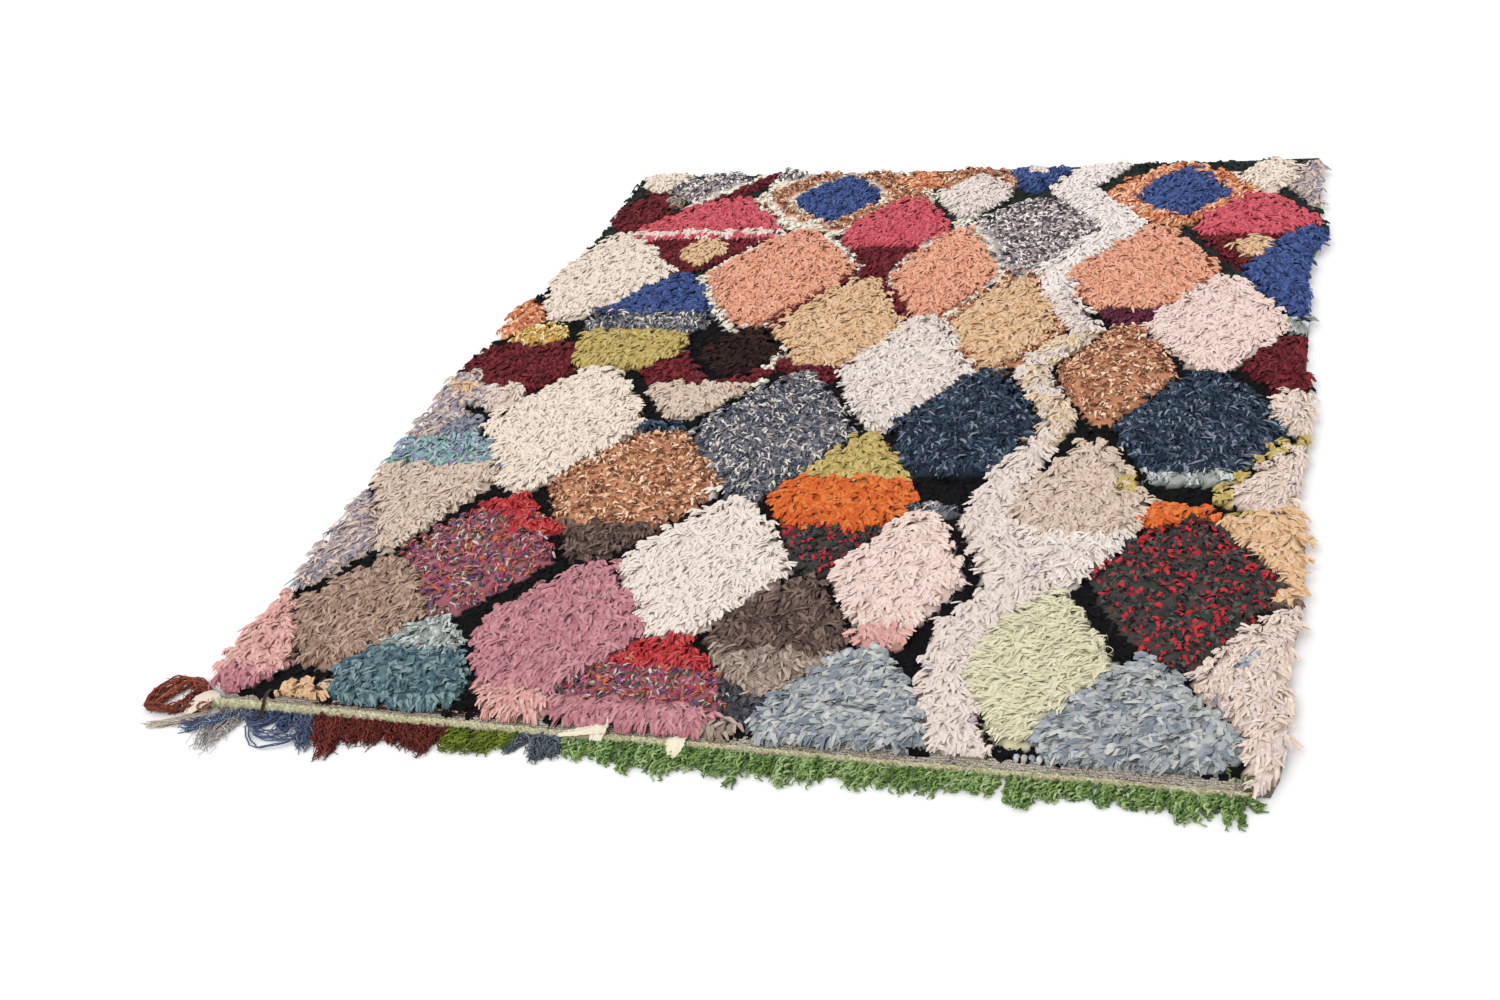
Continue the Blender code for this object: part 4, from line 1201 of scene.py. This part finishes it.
class RUG_OT_edging_cords(bpy.types.Operator):
    """Lay the twisted cords of both ends"""

    bl_idname = "rug.edging_cords"
    bl_label = "Edging Cords"

    def execute(self, context):
        rng = np.random.default_rng(31)
        x = np.linspace(CORD_LOW.x, CORD_HIGH.x + 0.008, 270)
        radius = np.interp(x, *CORD_SWELL) * (1.0 + 0.10 * drift(x, x * 0.0, 0.040, 2.0))
        y = (CORD_LOW.y + CORD_HIGH.y) / 2.0 + 0.0016 * drift(x, x * 0.0, 0.12, 5.0)
        y = y - 0.0012 + 0.0030 * np.clip((x + 0.25) / 0.3, 0.0, 1.0)
        path, thick = twisted(x, y, radius, 4, 0.030)
        path += rng.normal(0.0, 0.0005, path.shape)
        creams = ((192, 187, 152), (187, 181, 145), (197, 193, 158), (190, 184, 148))
        wool = yarn_finish("cream_wool", *creams, tone_and_shade_mottle=2.0)
        piece("near_cord", tubes_mesh("near_cord", path, thick, 8, rng), wool, "cream_cord", "near_edging")
        ends = fibres(picked(path, 900, 2, rng), (0.9, -0.2, 0.5), (0.006, 0.012), 4, 0.6, 0.0008, rng)
        mesh = tubes_mesh("cord_fibres", lifted(ends, 0.0006), mm(0.6, 0.5, 0.4, 0.2), 3, rng)
        piece("cord_fibres", mesh, wool, "cream_cord", "near_edging")
        x = np.linspace(FAR_CORD_LOW.x, FAR_CORD_HIGH.x, 300)
        path, thick = twisted(x, far_edge(x) + 0.0043, np.full(len(x), 0.0038), 3, 0.018)
        green = yarn_finish("green_wool", (54, 92, 66), (44, 80, 56), (66, 106, 76))
        piece("far_cord", tubes_mesh("far_cord", path, thick, 6, rng), green, "green_edging", "far_edging")
        return {"FINISHED"}


class RUG_OT_fringe(bpy.types.Operator):
    """Tie the yarns of the near fringe"""

    bl_idname = "rug.fringe"
    bl_label = "Fringe"

    def execute(self, context):
        for number, group in enumerate(FRINGE):
            rng = np.random.default_rng(41 + number)
            root, tip = self.ends(group, rng)
            count, rows = len(root), group.rows
            share = shares(rows)[None, :, None]
            run = (tip - root)[:, None]
            path = root[:, None] + run * share
            path[..., 0] += run[..., 0] * (share[..., 0] ** 1.6 - share[..., 0])
            path += waves(count, rows, 1.2, rng) * 0.0018
            if group.name in COILED_FRINGE:
                path += self.coils(count, rows, rng)
            crimp = rng.normal(0.0, group.curl, (count, rows, 3)) * (1.0, 0.8, 0.8)
            crimp[:, 0] = 0.0
            half = group.thickness / 2.0
            path = lifted(path + crimp, half)
            radius = half * np.interp(share[0, :, 0], (0.0, 0.8, 1.0), (1.0, 1.0, 0.45))
            finish = yarn_finish(group.name, *group.colours, tone_and_shade_mottle=0.8)
            mesh = tubes_mesh(group.name, path, radius, 3, rng)
            piece(group.name + "_yarns", mesh, finish, group.slot, group.name)
            if group.name == LOOPED_FRINGE:
                mesh = tubes_mesh("fringe_loops", self.hanging_loops(rng), 0.0011, 4, rng)
                piece("fringe_loops", mesh, finish, group.slot, group.name)
        return {"FINISHED"}

    @staticmethod
    def coils(count, rows, rng):
        """The ringlets of a crimped yarn: how far each point stands off the middle line."""
        share = shares(rows)
        turn = 2.0 * np.pi * (rng.uniform(3.2, 4.6, (count, 1)) * share + rng.uniform(0.0, 1.0, (count, 1)))
        size = rng.uniform(0.0020, 0.0036, (count, 1)) * np.minimum(share * 5.0, 1.0)
        return np.stack([size * np.cos(turn), 0.3 * size * np.cos(turn), size * np.sin(turn)], axis=-1)

    @staticmethod
    def hanging_loops(rng):
        """Uncut yarns that hang in open loops."""
        rows = 26
        found = []
        for points in FRINGE_LOOPS:
            line = rounded([(*point, LOOP_HEIGHT) for point in points], rows)
            for _ in range(LOOPS_PER_PATH):
                size = rng.uniform((0.85, 0.70, 1.0), (1.10, 1.06, 1.0))
                path = line[0] + (line - line[0]) * size + beside(line) * rng.uniform(-0.004, 0.004)
                path += waves(1, rows, 1.5, rng)[0] * 0.0026 + rng.normal(0.0, 0.0007, (rows, 3))
                path[:, 2] += rng.uniform(-0.002, 0.003)
                found.append(lifted(path, 0.0014))
        return np.array(found)

    @staticmethod
    def ends(group, rng):
        """The root and tip of each yarn: the yarns of one lock close in on its tip."""
        room = np.array([share for _, _, share in group.locks])
        room = np.concatenate([[0.0], np.cumsum(room) / room.sum()])
        bounds = group.start + (group.end - group.start) * room
        roots, tips = [], []
        for (tip_x, tip_y, _), start, end in zip(group.locks, bounds, bounds[1:]):
            count = max(3, round((end - start) * group.per_metre))
            inside = rng.uniform(-1.0, 1.0, count)
            root = np.zeros((count, 3))
            root[:, 0] = (start + end) / 2.0 + inside * (end - start) / 2.0
            root[:, 1] = FRINGE_Y + rng.uniform(-0.002, 0.003, count)
            root[:, 1] += 0.004 * np.clip((root[:, 0] + 0.25) / 0.3, 0.0, 1.0)
            root[:, 2] = rng.uniform(0.002, 0.0085, count)
            tip = np.zeros((count, 3))
            tip[:, 0] = tip_x + group.spread * inside * (end - start) / 2.0 + rng.normal(0.0, 0.002, count)
            reach = (root[:, 1] - tip_y) * (1.0 - 0.16 * inside**2) * rng.uniform(0.62, 1.02, count)
            tip[:, 1] = root[:, 1] - reach
            tip[:, 2] = rng.uniform(0.0015, 0.0065, count)
            roots.append(root)
            tips.append(tip)
        return np.concatenate(roots), np.concatenate(tips)


class RUG_OT_rag_tabs(bpy.types.Operator):
    """Hang the two rag ends over the near cord"""

    bl_idname = "rug.rag_tabs"
    bl_label = "Rag Ends"

    def execute(self, context):
        rng = np.random.default_rng(61)
        material = rag_end_finish("cream_rag", (232, 222, 200), "strip", 3.0, 0.86, 0.24, 0.002)
        for tab in TABS:
            mesh = tab_mesh(tab.name, tab.points, tab.widths, rng)
            thicken(piece(tab.name, mesh, material, "cream_rag", tab.node), RAG_THICKNESS, 0.0)
        return {"FINISHED"}


class RUG_OT_corner_loops(bpy.types.Operator):
    """Tie the bunch of yarn loops to the corner"""

    bl_idname = "rug.corner_loops"
    bl_label = "Corner Loops"

    def execute(self, context):
        rng = np.random.default_rng(71)
        rust = yarn_finish("rust_wool", (158, 74, 46), (138, 60, 36), (174, 94, 64), (120, 50, 32))
        beige = yarn_finish("beige_wool", (204, 190, 172), (184, 168, 152), (216, 206, 190))
        mesh = tubes_mesh("corner_loops", self.loops(rng), 0.0014, 5, rng)
        piece("loop_yarns", mesh, rust, "rust_loops", "corner_loops")
        start = picked(self.loops(rng), 420, 3, rng)
        frizz = lifted(fibres(start, (0.0, 0.0, 0.4), (0.003, 0.008), 4, 0.7, 0.0007, rng), 0.0005)
        mesh = tubes_mesh("loop_frizz", frizz, 0.0005, 3, rng)
        piece("loop_frizz", mesh, rust, "rust_loops", "corner_loops")
        mesh = tubes_mesh("corner_knot", self.wraps(8, 0.0040, rng), 0.0016, 6, rng)
        piece("loop_knot", mesh, beige, "rust_loops", "corner_loops")
        mesh = tab_mesh(KNOT_RAG.name, KNOT_RAG.points, KNOT_RAG.widths, rng)
        material = rag_end_finish(KNOT_RAG.name, (222, 208, 192), "place", 160.0, 0.80, 0.34, 0.003)
        thicken(piece(KNOT_RAG.name, mesh, material, "rust_loops", KNOT_RAG.node), RAG_THICKNESS, -1.0)
        count, rows = 30, 12
        start = THREADS_FROM + rng.normal(0.0, 1.0, (count, 3)) * (0.005, 0.005, 0.001)
        end = THREADS_TO + rng.normal(0.0, 1.0, (count, 3)) * (0.012, 0.0030, 0.0008)
        path = start[:, None] + (end - start)[:, None] * shares(rows)[None, :, None]
        path = lifted(path + waves(count, rows, 1.0, rng) * 0.0014, 0.0008)
        mesh = tubes_mesh("corner_threads", path, 0.0008, 4, rng)
        piece("loop_threads", mesh, beige, "rust_loops", "corner_loops")
        return {"FINISHED"}

    @staticmethod
    def loops(rng):
        """The crossing loops, several yarns to each, and a small ring on top."""
        rows = 44
        found = []
        for loop in LOOPS:
            line = rounded([(*point, LOOP_HEIGHT) for point in loop.points], rows)
            for _ in range(loop.yarns):
                path = line + beside(line) * rng.uniform(-1.0, 1.0) * loop.spread / 1000.0
                path = path + waves(1, rows, 3.0, rng)[0] * 0.0016 + rng.normal(0.0, 0.0010, (rows, 3))
                path[:, 2] += rng.uniform(-0.0030, 0.0080)
                found.append(lifted(path, 0.0020))
        turn = 2.0 * np.pi * shares(rows)
        ring = (-0.7480 + 0.0095 * np.cos(turn), -0.9415 + 0.0075 * np.sin(turn), 0.0150 + 0.0 * turn)
        found.append(np.stack(ring, axis=-1))
        return np.array(found)

    @staticmethod
    def wraps(count, size, rng):
        """Turns of yarn wound round the roots of the loops."""
        turn = 2.0 * np.pi * shares(22)
        found = []
        for step in range(count):
            x = KNOT_PLACE.x - 0.007 + 0.014 * step / (count - 1) + 0.0010 * np.sin(turn)
            y = KNOT_PLACE.y + 0.0135 * np.cos(turn) * rng.uniform(0.9, 1.05)
            z = 0.0055 + size * np.sin(turn)
            found.append(np.stack([x, y, z], axis=-1))
        return np.array(found)


class RUG_OT_loose_threads(bpy.types.Operator):
    """Add the tie over the cord and a few stray threads"""

    bl_idname = "rug.loose_threads"
    bl_label = "Loose Threads"

    def execute(self, context):
        rng = np.random.default_rng(81)
        dark = yarn_finish("dark_thread", (44, 36, 28), (58, 46, 34), (80, 60, 40))
        path = np.stack([rounded(np.add(DARK_TIE, offset), 16) for offset in TIE_YARNS])
        piece("dark_tie", tubes_mesh("dark_tie", path, 0.0011, 6, rng), dark, "cream_cord", "near_edging")
        pale = yarn_finish("pale_thread", (226, 222, 206), (214, 206, 188))
        path = np.stack([rounded(points, 24) for points in THREADS])
        mesh = tubes_mesh("pale_threads", path, 0.0007, 5, rng)
        piece("pale_threads", mesh, pale, "rag_pile", "pile_field")
        return {"FINISHED"}


class RUG_OT_stage(bpy.types.Operator):
    """Set the floor, the lights and the camera"""

    bl_idname = "rug.stage"
    bl_label = "Stage"

    def execute(self, context):
        scene = context.scene
        self.lay_floor(scene)
        self.hang_lights(scene)
        self.set_camera(scene)
        scene.view_settings.view_transform = "Standard"
        return {"FINISHED"}

    @staticmethod
    def lay_floor(scene):
        x, y = np.meshgrid((-FLOOR_REACH, FLOOR_REACH), (-FLOOR_REACH, FLOOR_REACH))
        points = np.stack([x, y, np.zeros_like(x)], axis=-1)[None]
        floor = bpy.data.objects.new("floor", grid_mesh("floor", points, np.zeros_like(points)))
        finish = Finish("floor", 0.8)
        finish.shader.inputs["Base Color"].default_value = (*scene.rug_stage.floor_colour, 1.0)
        floor.data.materials.append(finish.material)
        scene.collection.objects.link(floor)

    @staticmethod
    def hang_lights(scene):
        world = bpy.data.worlds.new("studio")
        world.use_nodes = True
        background = world.node_tree.nodes["Background"]
        background.inputs["Color"].default_value = (1.0, 1.0, 1.0, 1.0)
        background.inputs["Strength"].default_value = scene.rug_stage.sky
        scene.world = world
        light = bpy.data.lights.new("key", "SUN")
        light.energy = scene.rug_stage.key
        light.angle = KEY_SPREAD
        key = bpy.data.objects.new("key", light)
        key.rotation_euler = KEY_TURN
        scene.collection.objects.link(key)

    @staticmethod
    def set_camera(scene):
        data = bpy.data.cameras.new("camera")
        data.sensor_fit = "HORIZONTAL"
        data.sensor_width = SENSOR_WIDTH
        data.lens = CAMERA_LENS
        data.clip_end = 50.0
        camera = bpy.data.objects.new("camera", data)
        camera.location = CAMERA_PLACE
        camera.rotation_euler = CAMERA_TURN
        scene.collection.objects.link(camera)
        scene.camera = camera


class RUG_PT_panel(bpy.types.Panel):
    """Lists the rug's settings and pieces"""

    bl_label = "Rag Rug"
    bl_idname = "RUG_PT_panel"
    bl_space_type = "VIEW_3D"
    bl_region_type = "UI"
    bl_category = "Rag Rug"

    def draw(self, context):
        scene = context.scene
        for settings in (scene.rug_pile, scene.rug_stage):
            for name in settings.__annotations__:
                self.layout.prop(settings, name)
        for operator in OPERATORS:
            self.layout.operator(operator.bl_idname)


OPERATORS = (
    RUG_OT_stage,
    RUG_OT_ground_cloth,
    RUG_OT_rag_pile,
    RUG_OT_pile_bed,
    RUG_OT_near_band,
    RUG_OT_edging_cords,
    RUG_OT_fringe,
    RUG_OT_rag_tabs,
    RUG_OT_corner_loops,
    RUG_OT_loose_threads,
)
CLASSES = (RugPileSettings, RugStageSettings, *OPERATORS, RUG_PT_panel)


def register():
    for made in CLASSES:
        bpy.utils.register_class(made)
    bpy.types.Scene.rug_pile = PointerProperty(type=RugPileSettings)
    bpy.types.Scene.rug_stage = PointerProperty(type=RugStageSettings)


def unregister():
    del bpy.types.Scene.rug_stage
    del bpy.types.Scene.rug_pile
    for made in reversed(CLASSES):
        bpy.utils.unregister_class(made)


def main():
    register()
    bpy.ops.rug.stage()
    bpy.ops.rug.ground_cloth()
    bpy.ops.rug.rag_pile()
    bpy.ops.rug.pile_bed()
    bpy.ops.rug.near_band()
    bpy.ops.rug.edging_cords()
    bpy.ops.rug.fringe()
    bpy.ops.rug.rag_tabs()
    bpy.ops.rug.corner_loops()
    bpy.ops.rug.loose_threads()


if __name__ == "__main__":
    main()
